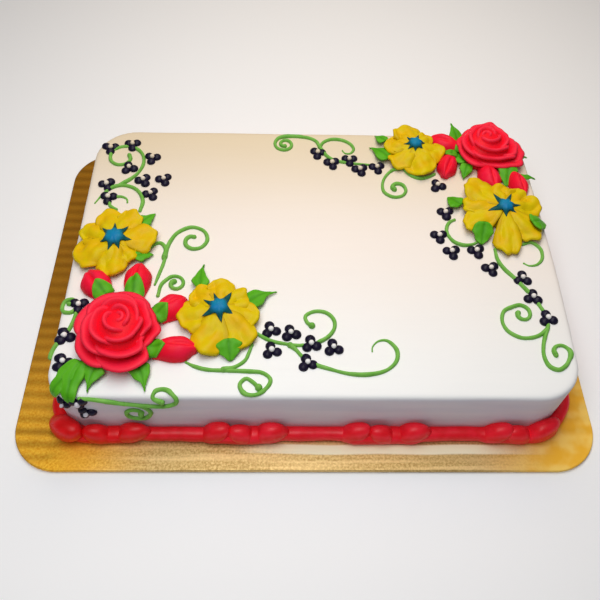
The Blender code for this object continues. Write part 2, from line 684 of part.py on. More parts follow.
def make_calyx(name, foot, tip, wide, mat):
    """The green cap piped over a bud's foot, with one long point."""
    def surface(u, v, lift):
        side = 2 * u - 1
        t = CALYX_START + (CALYX_END - CALYX_START) * v
        taper = 0.95 * (1 - v) ** 0.8 + 0.06
        lateral = side * taper
        half = wide / 2 * bud_half_width(max(0.0, t)) * 1.04
        rise = GAP + BUD_SKIRT + BUD_HEIGHT * bud_crown(max(0.0, t), lateral * 0.94)
        return bud_point(foot, tip, t, half * lateral, rise + CALYX_CLEAR + lift)

    return solid(name, *sheet(lambda u, v: surface(u, v, CALYX_THICK),
                              lambda u, v: surface(u, v, 0.0),
                              CALYX_PARTS_ACROSS, CALYX_PARTS_ALONG), mat)


def leaf_half_width(v):
    """Share of a leaf's half width: full near the foot, narrow at the tip."""
    return (0.55 + 0.45 * smooth(v / 0.3)) * (1 - 0.94 * smooth((v - 0.2) / 0.8))


def make_leaf(name, foot, tip, wide, mat):
    """A piped leaf: plump at the foot, grooved, drawn out to a point."""
    foot, tip = Vector(foot), Vector(tip)
    ahead = tip - foot
    across = Vector((-ahead.y, ahead.x)).normalized()

    def surface(u, v, lift):
        side = 2 * u - 1
        half = wide / 2 * leaf_half_width(v)
        arch = LEAF_ARCH * math.sin(math.pi * (0.18 + 0.82 * v)) * (1 - LEAF_GROOVE * abs(side))
        wave = LEAF_WAVE * math.sin(9 * v) * side * side
        at = foot + ahead * v + across * (half * side)
        return on_icing(at.x, at.y, GAP + 0.1 + arch + wave + lift)

    return solid(name, *sheet(lambda u, v: surface(u, v, LEAF_THICK),
                              lambda u, v: surface(u, v, 0.0),
                              LEAF_PARTS_ACROSS, LEAF_PARTS_ALONG), mat)


def build():
    for obj in list(bpy.data.objects):
        bpy.data.objects.remove(obj)
    gold = material("gold foil", (0.62, 0.36, 0.08), 0.32, 0.85)
    icing = material("white icing", (0.90, 0.86, 0.80), 0.45)
    red = material("red icing", (0.62, 0.012, 0.015), 0.35)
    rose = material("rose icing", (0.80, 0.015, 0.035), 0.38)
    yellow = material("yellow icing", (0.80, 0.50, 0.015), 0.45)
    blue = material("blue icing", (0.01, 0.16, 0.35), 0.4)
    green = material("leaf icing", (0.07, 0.26, 0.025), 0.42)
    make_board(gold)
    make_cake(icing)
    make_border(red)
    for name, place in ROSES.items():
        make_rose(name, place, rose)
    for name, (x, y, petals, arms) in FLOWERS.items():
        make_flower(name, x, y, petals, yellow)
        make_star(name + "_star", x, y, arms, blue)
    for name, (foot, tip, wide) in BUDS.items():
        make_bud(name, foot, tip, wide, rose)
        if name not in BARE_BUDS:
            make_calyx(name + "_calyx", foot, tip, wide, green)
    for name, (foot, tip, wide) in LEAVES.items():
        make_leaf(name, foot, tip, wide, green)


build()
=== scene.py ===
"""Looks of the quarter sheet cake: smooth icing, piped roses, flowers, vines and berries.

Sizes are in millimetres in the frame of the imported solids, and become metres when a mesh
is made. Places in a look, and those of the lamps and the floor, are in metres. The middle
of the board's underside is the origin and the front faces -Y.
"""
from bisect import bisect_right
from itertools import chain, product
from math import atan2, copysign, cos, degrees, exp, hypot, pi, radians, sin, sqrt

import bmesh
import bpy
from mathutils import Matrix, Vector, noise


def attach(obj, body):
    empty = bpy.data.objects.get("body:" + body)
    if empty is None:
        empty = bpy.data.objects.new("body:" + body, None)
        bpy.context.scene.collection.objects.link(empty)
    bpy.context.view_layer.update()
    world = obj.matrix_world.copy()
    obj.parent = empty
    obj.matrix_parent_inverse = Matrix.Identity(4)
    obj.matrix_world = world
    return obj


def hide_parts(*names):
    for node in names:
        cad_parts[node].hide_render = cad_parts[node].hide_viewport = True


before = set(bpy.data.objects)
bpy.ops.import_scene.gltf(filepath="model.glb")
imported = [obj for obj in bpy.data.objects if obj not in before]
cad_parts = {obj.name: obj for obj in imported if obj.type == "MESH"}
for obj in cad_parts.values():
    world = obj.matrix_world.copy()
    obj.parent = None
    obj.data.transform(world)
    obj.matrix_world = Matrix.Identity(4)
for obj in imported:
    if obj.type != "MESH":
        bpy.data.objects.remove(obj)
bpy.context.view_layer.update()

MM = 0.001

# The board and the cake, as in the solids
BOARD_X, BOARD_Y, BOARD_Z = 381, 279.4, 3
BOARD_CORNER, BOARD_EDGE = 31, 0.8
RIDGE_PITCH, RIDGE_DEPTH = 9, 0.45
CAKE_X, CAKE_Y = 328, 230
CAKE_AT = (4.35, 2.5)
CAKE_EDGE, EDGE_SQUARE = 5, 0.66
# The cake's corner radii: front left and right, then back left and right
CORNERS = ((19, 26), (30, 27))
SIDE_BOW = 3
CAKE_TOP = 51.5

# The piped border
ROPE_WIDTH, ROPE_HEIGHT = 8.3, 9.2
SHELL_WIDTH, SHELL_HEIGHT = 10.8, 17
SHELL_HALF, SHELL_FULL = 9.3, 2.2
# Each lobe of a group: its size, how far it lies out from the cake, how much its top
# leans along the rope, and how much longer it is at its start and at its end
SHELL_LOBES = ((1, -0.4, 4.2, 1.15, 1), (0.95, 0.7, -2.6, 1, 1),
               (1, -0.2, 3.6, 1, 1.6))
# Each group of three on the front and back, by its x, and on the sides, by its y, and
# how far apart its lobes are
FRONT_GROUPS = ((-134, 19), (-42, 17), (50, 17.8), (137, 13.7))
SIDE_GROUPS = ((-46, 17.3), (46, 17.3))
ROPE_SWELL, SWELL_REACH = 2, 27
# The lobe on the front left corner is fuller: its size, and how far out it lies
CORNER_LOBE = (1.25, 1.6)

# Piped lines and berries
VINE_HALF, VINE_HEIGHT, VINE_SUNK, VINE_STEP, VINE_SIDES = 1.35, 1.9, 0.5, 1.1, 8
DOT_RADIUS, DOT_HEIGHT, DOT_SPREAD, DOT_SIDES = 3.15, 2.9, 3.5, 16
WHITE_RADIUS, WHITE_FOOT, WHITE_TOP = 1.75, 1.3, 3.9
# The profile of each, from foot to top: shares of its radius and of its height, apart
# from the end of a vine, whose height is in millimetres
VINE_END = ((1, -VINE_SUNK), (1, 0.5), (0.82, 1.3), (0.45, 1.85), (0.1, 2))
DOT_PROFILE = ((1, -0.16), (1.04, 0.1), (1, 0.32), (0.86, 0.55), (0.62, 0.76),
               (0.32, 0.9), (0.12, 0.97))
WHITE_PROFILE = ((0.9, 0), (1, 0.35), (0.88, 0.65), (0.6, 0.87), (0.25, 0.98))

# Every vine: the x and y of each point it passes, the curl it ends in or None, and how
# thick it is at its start and its end. A curl is its centre, its turn in degrees (plus
# is anticlockwise) and its last radius.
VINES = (
    ((-139, 58, -131, 63.5, -125, 71, -122, 81, -124, 91, -131, 97.5), (-138, 87, 330, 5),
      0.6, 1.2),
    ((-119, 34, -118, 43, -121, 51, -127, 56.5, -135, 58.5, -142, 56, -148, 49, -152, 41), None,
      0.9, 0.35),
    ((-136, 35, -141, 39, -141, 45, -135, 47.5, -130, 45.5, -129, 42), None, 0.9, 0.5),
    ((-161, -84, -157, -77, -152, -67, -149.5, -57, -149.5, -48, -153, -42.5),
      (-153.5, -48.5, 380, 2.5), 1.2, 1.1),
    ((-101.5, -30, -99.5, -21, -97.5, -12, -97, -4, -98, 1.5, -101.5, 5, -105.5, 3.5, -109, -1),
      None, 0.6, 0.8),
    ((-97.5, -8, -96.5, 0, -94.5, 7, -90, 14.5), (-79, 7.5, -427, 3), 1.3, 1.1),
    ((-98.5, -39, -97.5, -31, -94.5, -26.5), (-88, -29.5, -400, 2), 0.9, 1.3),
    ((-76, -88.5, -70, -91.5, -62, -93.5, -50, -94, -38, -94.5, -29, -95.5, -24, -100, -26.5, -106,
      -33, -109.5, -40, -108.5, -42.5, -103.5, -39, -99.5, -35, -101.5, -31, -105.5), None,
      0.6, 1.6),
    ((-36, -76, -37.5, -81, -40, -87, -46, -91.5, -53, -93.5), None, 0.9, 1.3),
    ((-34, -67, -25, -72.5, -15, -75, -6, -76, 3, -74.5, 11, -70.5, 16, -64, 16.3, -57, 11.5, -51.5,
      4, -50.5, -2, -54, -1, -59, 2, -61.5), None, 0.9, 1.5),
    ((-12, -76, -8.5, -79, -4, -84.5, 2, -89, 12, -92.5, 24, -95.8, 36, -96.3, 47, -93.5, 54, -87,
      55, -79, 50, -72.5, 44, -72.5, 40, -76.5, 39.5, -80), None, 1.4, 0.35),
    ((106, 28.5, 102, 26, 99.5, 21, 99.5, 15, 103, 8.5, 109, 5.5, 115, 6, 120, 8.5), None,
      0.8, 0.8),
    ((131, 2, 131.3, -7, 134.5, -15, 140, -22.5, 148, -35, 152, -43, 155, -52, 155, -60, 152, -67,
      149, -75, 147.7, -83, 149.5, -90, 155, -92.5, 161, -88.5, 164.5, -82), (159.3, -80, 230, 4.5),
      0.8, 1.1),
    ((153, -64, 148, -67.5, 142, -69.5, 135, -69.3, 128, -64.5, 125.7, -57, 128, -49.5, 134, -46),
      (139.5, -51.5, -330, 2.5), 1.2, 1.3),
    ((151.5, 6.5, 157, 8.5, 161, 6, 163.5, 1, 162.5, -6, 158, -11, 152.5, -12, 149, -10), None,
      0.8, 0.5),
    ((72, 79, 65.5, 77, 60, 71, 57, 63.5), (67, 58.5, 420, 2), 1.2, 1.3),
    ((74.5, 79, 77, 74, 81, 70.5, 86, 69, 92, 70.5, 97, 73.5), None, 1.2, 0.8),
    ((11, 101, 8.5, 107, 3, 110.5, -5, 112, -14, 112), (-16, 103.5, 560, 2), 1, 1.1),
    ((11, 101, 14.5, 106.5, 21, 109.5, 29, 108.5, 35, 104.5, 37.3, 99, 34.5, 94.5, 30.5, 94.5,
      28.5, 97.5), None, 1, 0.4),
    ((11, 101, 17, 90.5, 26, 85.5, 38, 83.5, 48, 82.5), None, 1.1, 0.6),
    ((-137.5, -112.5, -130, -113.3, -120, -115.5, -110, -118, -100, -120, -89, -121, -81.5, -117.5,
      -80.5, -112, -86, -107, -92.5, -107.5, -94, -112, -89, -115.5), None, 0.9, 1.2),
    ((-112, -117.5, -105, -120, -100, -124, -98, -131), (-107, -131, -380, 3), 1, 1.4),
)

# Berries in threes: the middle of each and the way its first dot points
BERRIES = (
    (-148.5, 96.5, 150), (-132.5, 100.5, 35), (-116, 86.5, 20), (-132, 76, 110), (-120, 63.5, 60),
    (-105, 64.5, 50), (-113, 50, 60), (-146, 59, 50), (-143, 46, 25), (-148.5, -47, 150),
    (-153, -70.5, 110), (-151, -89, 120), (-24.2, -65, 107), (-11.5, -67.3, 105), (1.3, -75.2, 100),
    (15.2, -77.8, 100), (-23.5, -80, 105), (-1.3, -88.8, 105), (100.3, -0.8, 40), (117.7, 0.2, 45),
    (125.2, -15, 45), (145.5, -23, 85), (149.5, -38.3, 80), (156, -55, 100), (93.2, 13.2, 35),
    (100.4, 34.8, 35), (98, 61.5, 110), (9.5, 94, 20), (20, 83.5, 40), (33.5, 87, 150),
    (41, 77, 45), (54, 79.3, 40), (-153, -118, 90), (-139.5, -116.5, 30), (-137.5, -129.5, 120),
)

# Roses: where, how wide across, how high, the way the first petal faces, how far the
# heart lies from the middle, and the outline from above: directions, and how far the
# outer petals reach there as a share of the whole
ROSES = {
    "rose_front": (
        -119, -71.2, 52.5, 23, -4, (2.4, 2.4),
        ((0, 1.01), (18, 0.92), (32, 0.95), (48, 1.05), (80, 1.07), (130, 1.06), (172, 0.98),
         (195, 0.97), (212, 1), (250, 1.03), (290, 1.09), (315, 1.07), (332, 0.85), (345, 0.88))),
    "rose_back": (
        141, 97, 51, 20, 65, (-4, 1),
        ((0, 0.9), (30, 0.74), (52, 0.72), (77, 0.97), (100, 0.86), (125, 0.9), (150, 0.87),
         (180, 1), (225, 1.02), (270, 0.86), (295, 0.93), (318, 1.14), (335, 1.04))),
}
# Each ring of petals, from the bud outwards: how many, where the petals stand, how far
# they lean out and how high they reach, all as shares of the rose, then a petal's arc
ROSE_RINGS = (
    (1, 0.06, 0.05, 0.96, 350),
    (2, 0.18, 0.12, 1.01, 232),
    (3, 0.37, 0.2, 0.92, 176),
    (4, 0.52, 0.3, 0.7, 142),
    (5, 0.62, 0.38, 0.43, 120),
)
# The solid heart under the petals: its radius and height as shares of the rose
ROSE_CORE = ((0.86, 0), (0.87, 0.12), (0.77, 0.4), (0.62, 0.62), (0.44, 0.78), (0.26, 0.87),
             (0.08, 0.9))
ROSE_RING_TURN, ROSE_SIDES, ROSE_GRID = 37, 40, (36, 14)
ROSE_THICK, ROSE_TWIST, ROSE_SUNK = (3.6, 1.2, 0.55), 1.8, 0.2

# Open flowers: where, each petal's direction, length and half turn, then the radius
# of the star's hub and the direction and length of each of its arms
FLOWERS = {
    "flower_left": (
        -130.5, 1.5,
        ((108, 28, 27), (67, 28, 24), (10, 28, 31), (-48, 20, 26), (-92, 28, 27), (-150, 30, 30),
         (158, 26, 30)),
        6, ((-158, 10), (-106, 11.5), (-66, 10.5), (-8, 12), (50, 13), (96, 13), (139, 12.5))),
    "flower_middle": (
        -57, -54.5,
        ((88, 24, 30), (136, 24, 31), (194, 27, 34), (257, 31, 29), (307, 31, 30), (350, 26, 27),
         (38, 22, 29)),
        5.4, ((-149, 12.5), (-79, 11), (-29, 11.5), (58, 14), (110, 12), (150, 12))),
    "flower_back": (
        83, 95,
        ((109, 24, 34), (169, 23, 32), (224, 24, 32), (283, 27, 36), (339, 23, 34),
         (45, 17.5, 34)),
        4.6, ((-140, 8), (-95, 7.5), (-40, 7.5), (10, 8), (70, 10.5), (129, 10), (180, 9))),
    "flower_right": (
        141, 33,
        ((131, 35, 24), (165, 30, 22), (205, 32, 25), (267, 38, 17.5), (312, 33, 22),
         (8, 27, 28), (45, 23, 24), (85, 23, 28)),
        5, ((-165, 13.5), (-95, 9.5), (-40, 9.5), (8, 12), (62, 14), (119, 14))),
}
FLOWER_CROWN, RIM_FRONT, RIM_BACK = 10, 4.2, 8.4
FLOWER_THICK, FLOWER_GRID = (3.4, 1.1, 0.3), (28, 20)
# The mound of icing under a flower's middle: its radius and height, level by level
MOUND_SIDES = 32
MOUND = ((13, -0.3), (12.5, 2), (10.5, 5.4), (7, 8), (3, 9.2))
STAR_FOOT, STAR_HEIGHT, STAR_RISE = 10.8, 2.6, 1.3

# Rosebuds: foot, tip, width, and how far up the green foot reaches, or 0 where it is
# out of sight or is one of the leaves below
BUDS = {
    "bud_front_1": ((-132, -40.5), (-146, -23.2), 19.5, 0.46),
    "bud_front_2": ((-113, -42.5), (-112.5, -16), 18, 0.62),
    "bud_front_3": ((-96.5, -56.5), (-80.5, -43), 19, 0.44),
    "bud_front_4": ((-97, -81), (-70.5, -79.5), 18, 0.33),
    "bud_back_1": ((118.5, 98.5), (97.5, 108.5), 16, 0.14),
    "bud_back_2": ((111, 91), (103.8, 69.5), 15, 0.28),
    "bud_back_3": ((135, 80), (139.5, 57.5), 17, 0),
    "bud_back_4": ((155, 72.5), (160.5, 51.5), 14, 0),
}
BUD_HEIGHT, BUD_LIFT = 9, 0.9
UNDER_SHARE, UNDER_LIFT = 0.75, -0.3
CALYX_THICK, CALYX_GRID = (1.5, 1, 0), (18, 14)

# Each blade of a leaf: foot, tip, width, how much the foot is raised, how drawn out the
# tip is, and how far the blade bows to its left
LEAVES = {
    "leaf_left_1": (((-118, 18), (-107.3, 30.8), 11.5, 2, 0.9, -0.8),),
    "leaf_left_2": (((-116.8, -10), (-104.6, -6.3), 11.5, 2, 0.8, 0.5),),
    "leaf_middle_1": (((-70.5, -35.5), (-69.8, -13.5), 11.5, 2, 1.5, 1),),
    "leaf_middle_2": (((-40, -48), (-20.3, -36), 14.5, 3, 1.5, 1.6),),
    "leaf_middle_3": (((-50.5, -75), (-48.8, -88), 16, 4.5, 0.42, 0),),
    "leaf_corner": (((-139, -90.5), (-154.2, -111.5), 13, 3, 0.36, -0.6),
                    ((-138, -90.5), (-142.5, -116.8), 13.5, 3.2, 0.38, -2.4)),
    "leaf_rose_1": (((-128, -93), (-132.8, -108.8), 13, 3, 1.2, -1),),
    "leaf_rose_2": (((-105.5, -91.5), (-98.8, -108.3), 13.5, 3, 1.1, 1),),
    "leaf_right_1": (((111.5, 39), (103.5, 49.5), 13, 2, 0.6, 0.6),),
    "leaf_right_2": (((123.8, 18.8), (121.5, 5.4), 15, 8, 0.42, 0),),
    "leaf_right_3": (((157, 18.5), (171, 24), 15, 8.5, 0.6, 0),),
    "leaf_back_1": (((62, 104), (54.5, 112.8), 9.5, 2, 0.9, 0.5),),
    "leaf_back_2": (((63, 85.5), (49.2, 100), 14, 2, 1, -1),),
    "leaf_back_3": (((119, 101), (113.3, 119), 12, 1, 1, 0.5),),
    "leaf_back_4": (((122, 80.5), (118, 68), 10.5, 2, 0.7, 0),
                    ((121, 82), (110.8, 96), 9.5, 2, 0.8, 0)),
    "leaf_back_5": (((158.5, 85.5), (170.4, 90.5), 5, 3, 0.8, 0),),
    "leaf_back_6": (((157.5, 66), (172.3, 68), 5, 3, 0.8, 0),),
    "bud_back_4_calyx": (((152.5, 79), (149, 60.8), 14.5, 5, 0.45, 0),),
}
# Leaves that stand out past the cake's edge: how stiff they are, from 0 for one that lies
# down over the edge to 1 for one that stays level, and how far their tips rise
STIFF = {"leaf_right_3": (0.85, 0), "leaf_back_5": (1, 0.5), "leaf_back_6": (1, 0.5),
         "leaf_back_3": (1, 9)}
LEAF_THICK, LEAF_GRID = (1.7, 1.1, 0.5), (16, 20)
LEAF_ARCH, LEAF_LIFT = 2.8, 1.1

# Petal and leaf icing: the colour of the painted shade deep in the folds (on the blue stars, the
# darker tone of their thin arms), two tones of the face, and the painted highlight on the rim
PETAL_COLOURS = {
    "rose icing": ((0.83, 0.005, 0.02), (0.88, 0.007, 0.031), (0.87, 0.012, 0.054),
        (0.93, 0.03, 0.066)),
    "yellow icing": ((0.5, 0.315, 0.001), (0.77, 0.465, 0.001), (0.7, 0.54, 0.001),
        (0.79, 0.59, 0.002)),
    "leaf icing": ((0.034, 0.21, 0.004), (0.085, 0.4, 0.008), (0.12, 0.47, 0.02),
        (0.16, 0.5, 0.035)),
    "blue icing": ((0.006, 0.085, 0.085), (0.004, 0.2, 0.46), (0.006, 0.24, 0.42),
        (0.03, 0.28, 0.5)),
}

# The camera: its lens and place in millimetres, and its own right and up
LENS, SENSOR, CAMERA_AT = 40.96, 36, (-17.659, -291.46, 423.34)
CAMERA_RIGHT = (0.99960494, -0.0092811, 0.02652966)
CAMERA_UP = (-0.00709846, 0.82994062, 0.55780657)

# Each lamp: its place, its aim, its two sides, its power and its colour
LAMPS = {
    "key": ((-0.05, -0.04, 0.66), (-0.02, -0.05, 0.05), (0.8, 0.34), 4, (1, 1, 1)),
    "warm": ((0.08, 0.42, 0.55), (0, 0.08, 0.05), (0.5, 0.3), 0.9, (1, 0.72, 0.42)),
}
ROOM_COLOUR, ROOM_POWER = (0.92, 0.94, 1, 1), 0.14
FLOOR_HALF, FLOOR_Z, FLOOR_COLOUR = 4, -0.0002, (0.94, 0.95, 0.965)


def smooth(x, start=0, length=1):
    """An eased step from 0, up to the start, to 1, from that far past it."""
    x = min(1, max(0, (x - start) / length))
    return x * x * (3 - 2 * x)


def wave(x, y, z=0):
    """Smooth unevenness from -1 to 1, the same on every run."""
    return noise.noise(Vector((x, y, z)))


# Materials

class Wire:
    """One output of a shader node; arithmetic on it adds the Math nodes."""

    def __init__(self, look, socket):
        self.look, self.socket = look, socket

    def __add__(self, other):
        return self.look.maths("ADD", self, other)

    def __mul__(self, other):
        return self.look.maths("MULTIPLY", self, other)

    def __sub__(self, other):
        return self.look.maths("SUBTRACT", self, other)

    def __rsub__(self, other):
        return self.look.maths("SUBTRACT", other, self)

    __radd__, __rmul__ = __add__, __mul__


class Look:
    """A material on one Principled BSDF, and the nodes that vary it."""

    def __init__(self, name, colour, specular):
        self.colour = colour
        self.material = bpy.data.materials.new(name)
        self.material.use_nodes = True
        self.tree = self.material.node_tree
        self.shader = self.tree.nodes["Principled BSDF"]
        self.places = self.node("TexCoord", out="Object")
        self.feed(Specular_IOR_Level=specular)

    def node(self, kind, settings=None, sockets=None, out=0):
        """Any shader node: its settings, then values or wires for its sockets."""
        node = self.tree.nodes.new("ShaderNode" + kind)
        for key, value in (settings or {}).items():
            setattr(node, key, value)
        for key, value in (sockets or {}).items():
            self.plug(node.inputs[key], value)
        return Wire(self, node.outputs[out])

    def plug(self, socket, value):
        if isinstance(value, Wire):
            self.tree.links.new(value.socket, socket)
        elif hasattr(value, "__len__") and socket.type == "RGBA":
            socket.default_value = (*value, 1)
        else:
            socket.default_value = value

    def feed(self, **values):
        """Values or wires for the shader's sockets, by name with _ for a space."""
        for key, value in values.items():
            self.plug(self.shader.inputs[key.replace("_", " ")], value)

    def maths(self, operation, *terms):
        return self.node("Math", {"operation": operation}, dict(enumerate(terms)))

    def mix(self, share, first, second):
        """Two colours mixed; they go in by number, as the node's sockets share names."""
        factor, a, b, mixed = 0, 6, 7, 2
        return self.node("Mix", {"data_type": "RGBA"},
                         {factor: share, a: first, b: second}, mixed)

    def over(self, share, colour):
        """Lays a colour over the one so far."""
        self.colour = self.mix(share, self.colour, colour)

    def span(self, value, low, high, to_low=0, to_high=1):
        """The value eased from one range into another."""
        return self.node("MapRange", {"interpolation_type": "SMOOTHSTEP"},
                         {"Value": value, "From Min": low, "From Max": high,
                          "To Min": to_low, "To Max": to_high})

    def grain(self, size_mm, detail=2, along=(1, 1, 1), roughness=0.5):
        """Noise from 0 to 1 in lumps about size_mm across, finer by along on each axis."""
        at = self.node("VectorMath", {"operation": "MULTIPLY"},
                       {0: self.places, 1: along})
        return self.node("TexNoise", {},
                         {"Vector": at, "Scale": 1000 / size_mm, "Detail": detail,
                          "Roughness": roughness}, "Fac")

    def painted(self, name):
        """The value that the mesh carries at each point."""
        return self.node("Attribute", {"attribute_name": name}, {}, "Fac")

    def place(self, axis):
        """Where the point is along X, Y or Z."""
        return self.node("SeparateXYZ", {}, {0: self.places}, axis)

    def finish(self, roughness, height, depth_mm):
        """Feeds the colour so far, the roughness and a relief by a height from 0 to 1."""
        bump = self.node("Bump", {}, {"Height": height, "Distance": depth_mm * MM},
                         "Normal")
        self.feed(Base_Color=self.colour, Roughness=roughness, Normal=bump)
        return self.material


def icing_look():
    """White icing: painted warm light makes it warmer and darker towards the back, and painted
    lilac grey shade runs down its sides, most at the front.
    """
    # The front, middle and back colours are the icing under painted warm light that deepens towards
    # the back
    front, middle, back = (0.87, 0.88, 0.88), (0.87, 0.79, 0.73), (0.73, 0.6, 0.41)
    # shade and pale_shade are painted shade for the sides; cloud is a random creamy tone
    cloud, shade, pale_shade = (0.9, 0.84, 0.74), (0.58, 0.57, 0.66), (0.76, 0.7, 0.74)
    look = Look("white icing", front, 0.35)
    y = look.place("Y")
    # Painted warm light: the top turns warmer and darker from the front to the back, for the warm
    # lamp behind the cake and the white light falling off
    look.over(look.span(y, -0.11, 0.02), middle)
    look.over(look.span(y, 0, 0.125), back)
    look.over(look.grain(70, 1) * 0.14, cloud)
    # Painted shade: the sides below the top edge turn lilac grey, fully at the front and a third as
    # much at the back, streaked between two painted shades
    side = look.span(look.place("Z"), 0.0508, 0.0482) * look.span(y, 0.05, -0.09, 0.35, 1)
    strokes = look.grain(9, along=(0.12, 0.3, 1))
    look.over(side, look.mix(strokes, shade, pale_shade))
    streaks = look.grain(2.4, along=(0.07, 1, 0.5))
    return look.finish(0.36 + streaks * 0.2, streaks, 0.1)


def foil_look():
    """Gold foil: speckled, with painted light brightening its right end, painted shade darker to
    the back and in its hollows, and a painted reflection on its front strip.
    """
    gold, pale_gold, patch = (0.76, 0.34, 0.016), (1, 0.6, 0.055), (0.88, 0.46, 0.045)
    # sun and pale_sun are painted light for the right end; bright is a painted reflection line
    sun, pale_sun, bright = (0.94, 0.5, 0.035), (1, 0.66, 0.14), (1, 0.95, 0.68)
    # dark and hollow are painted shade: towards the back, and in the ridges' hollows
    dark, hollow = (0.27, 0.1, 0.004), (0.22, 0.085, 0.003)
    # The next three colours are the front strip's painted reflection
    reflection_tone, pale_reflection_tone, band = (0.4, 0.27, 0.095), (0.64, 0.47, 0.21), (0.82, 0.6, 0.29)
    look = Look("gold foil", gold, 0.2)
    x, y = look.place("X"), look.place("Y")
    speckle, patches = look.grain(1.5, 3, roughness=0.6), look.grain(14)
    look.over(look.span(speckle, 0.3, 0.72), pale_gold)
    look.over(look.span(patches, 0.35, 0.68, 0, 0.5), patch)
    # Painted light: the right end is painted brighter and yellower, and made less metallic
    sunny = look.span(x, 0.11, 0.16)
    look.over(sunny, look.mix(look.span(patches, 0.36, 0.64), sun, pale_sun))
    plain = 1 - sunny * 0.6
    # Painted shade: darker towards the back, where less light falls
    look.over(look.span(y, -0.135, 0, 0, 0.78) * plain, dark)
    # Painted shade in the ridges' hollows
    look.over(look.painted("fold") * 0.55 * plain, hollow)
    # Painted reflection: the front strip is painted pale and streaked between its corners, with one
    # bright painted reflection line
    reflection_strip = look.span(y, -0.108, -0.12) * look.span(x, -0.155, -0.095)
    reflection_strip = reflection_strip * look.span(x, 0.165, 0.105)
    pale = look.mix(look.span(speckle, 0.3, 0.7), reflection_tone, pale_reflection_tone)
    bands = look.grain(3.4, 1, (0.03, 1, 1))
    pale = look.mix(look.span(bands, 0.42, 0.66, 0, 0.7), pale, band)
    look.over(reflection_strip * 0.9, pale)
    # Painted reflection: one bright line of reflected light just in front of the border, fading in
    # from the middle and out near the right end
    drift = look.grain(60, 1) * 0.003 - 0.0015
    off_line = look.maths("ABSOLUTE", y + drift + 0.1252)
    line = look.span(off_line, 0.004, 0.0025) * look.span(x, -0.055, 0)
    line = line * look.span(x, 0.165, 0.1)
    look.over(line * 0.95, bright)
    look.feed(Metallic=0.62 - look.maths("MAXIMUM", sunny, line) * 0.6)
    return look.finish(look.span(speckle, 0.3, 0.7, 0.58, 0.46), speckle, 0.05)


def gel_look():
    """Red gel icing, blotched in two tones and darker at the left end."""
    look = Look("red border icing", (0.8, 0.003, 0.004), 0.32)
    tone = look.span(look.grain(7), 0.35, 0.7)
    look.over(tone, (0.93, 0.006, 0.01))
    bright = look.mix(tone, (0.9, 0.008, 0.018), (1, 0.015, 0.036))
    look.over(look.span(look.place("X"), -0.15, -0.05), bright)
    fine = look.grain(1.3)
    return look.finish(0.34 + fine * 0.12, fine, 0.05)


def petal_look(name, deep, face, other, rim):
    """Piped petals: painted shade in the folds (on a star, the darker tone of its arms), blotched
    in two tones on the face, painted highlights on the rims.
    """
    look = Look(name, face, 0.13)
    look.over(look.span(look.grain(11), 0.34, 0.66), other)
    look.over(look.grain(3) * 0.3, deep)
    # Painted shade in the folds, save on a star, where it is the arms' own darker tone
    look.over(look.painted("fold"), deep)
    # Painted highlight on the rims
    look.over(look.painted("rim"), rim)
    drag = look.grain(0.9, along=(1, 1, 0.35))
    return look.finish(0.36 + drag * 0.16, drag, 0.09)


def berry_look():
    """Near black icing with a violet cast."""
    look = Look("berry icing", (0.003, 0.002, 0.009), 0.22)
    blotch = look.grain(4)
    look.over(blotch, (0.011, 0.006, 0.034))
    return look.finish(0.36 + blotch * 0.12, look.grain(1.2, 1), 0.05)


def vine_look():
    """Green icing, paler here and there along a vine."""
    look = Look("vine icing", (0.1, 0.36, 0.03), 0.15)
    look.over(look.grain(6), (0.25, 0.55, 0.11))
    fine = look.grain(0.8)
    return look.finish(0.38 + fine * 0.15, fine, 0.05)


# Shapes

def placed(name, data):
    """A new object in the scene for that mesh, camera or lamp."""
    obj = bpy.data.objects.new(name, data)
    bpy.context.scene.collection.objects.link(obj)
    return obj


def make_piece(name, material, node, parts):
    """Makes one mesh, rides it on the one body and lets it stand for the node.

    A part is its points in millimetres, its faces, and, where it has them, the rim and
    fold values that are painted on each point: a painted highlight on rims and painted
    shade in folds, save on a star, whose fold value is the darker tone of its arms.
    """
    points, faces, paint = [], [], []
    for more, its_faces, *painted in parts:
        faces += [tuple(len(points) + i for i in face) for face in its_faces]
        points += more
        paint += painted[0] if painted else [(0, 0)] * len(more)
    mesh = bpy.data.meshes.new(name)
    mesh.from_pydata([Vector(p) * MM for p in points], [], faces)
    for word, values in zip(("rim", "fold"), zip(*paint)):
        layer = mesh.attributes.new(word, "FLOAT", "POINT")
        layer.data.foreach_set("value", values)
    bm = bmesh.new()
    bm.from_mesh(mesh)
    bmesh.ops.recalc_face_normals(bm, faces=bm.faces)
    bm.to_mesh(mesh)
    bm.free()
    mesh.shade_smooth()
    mesh.materials.append(material)
    obj = placed(name, mesh)
    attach(obj, "root")
    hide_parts(node)


def loft(rings, closed=False):
    """Closed skin through rings of points; an open run gets an end at both ends."""
    size = len(rings[0])
    points = [p for ring in rings for p in ring]
    faces = []
    for j in range(len(rings) if closed else len(rings) - 1):
        low, high = j * size, (j + 1) % len(rings) * size
        for i in range(size):
            k = (i + 1) % size
            faces.append((low + i, low + k, high + k, high + i))
    if not closed:
        faces.append(tuple(reversed(range(size))))
        faces.append(tuple(range(len(points) - size, len(points))))
    return points, faces


def deep(points, faces):
    """The part painted all over in its icing's painted shade, as it lies under petals."""
    return points, faces, [(0, 1)] * len(points)


def loft_to_point(rings, top):
    """Closed skin through rings of points that ends in one point."""
    points, faces = loft(rings)
    faces.pop()
    size, last = len(rings[0]), len(points)
    faces += [(last - size + i, last - size + (i + 1) % size, last) for i in range(size)]
    return points + [top], faces


def swung(x, y, reach, angle):
    """The point that far from x, y in that direction."""
    return x + reach * cos(angle), y + reach * sin(angle)


def round_points(x, y, radius, sides):
    return [swung(x, y, radius, 2 * pi * i / sides) for i in range(sides)]


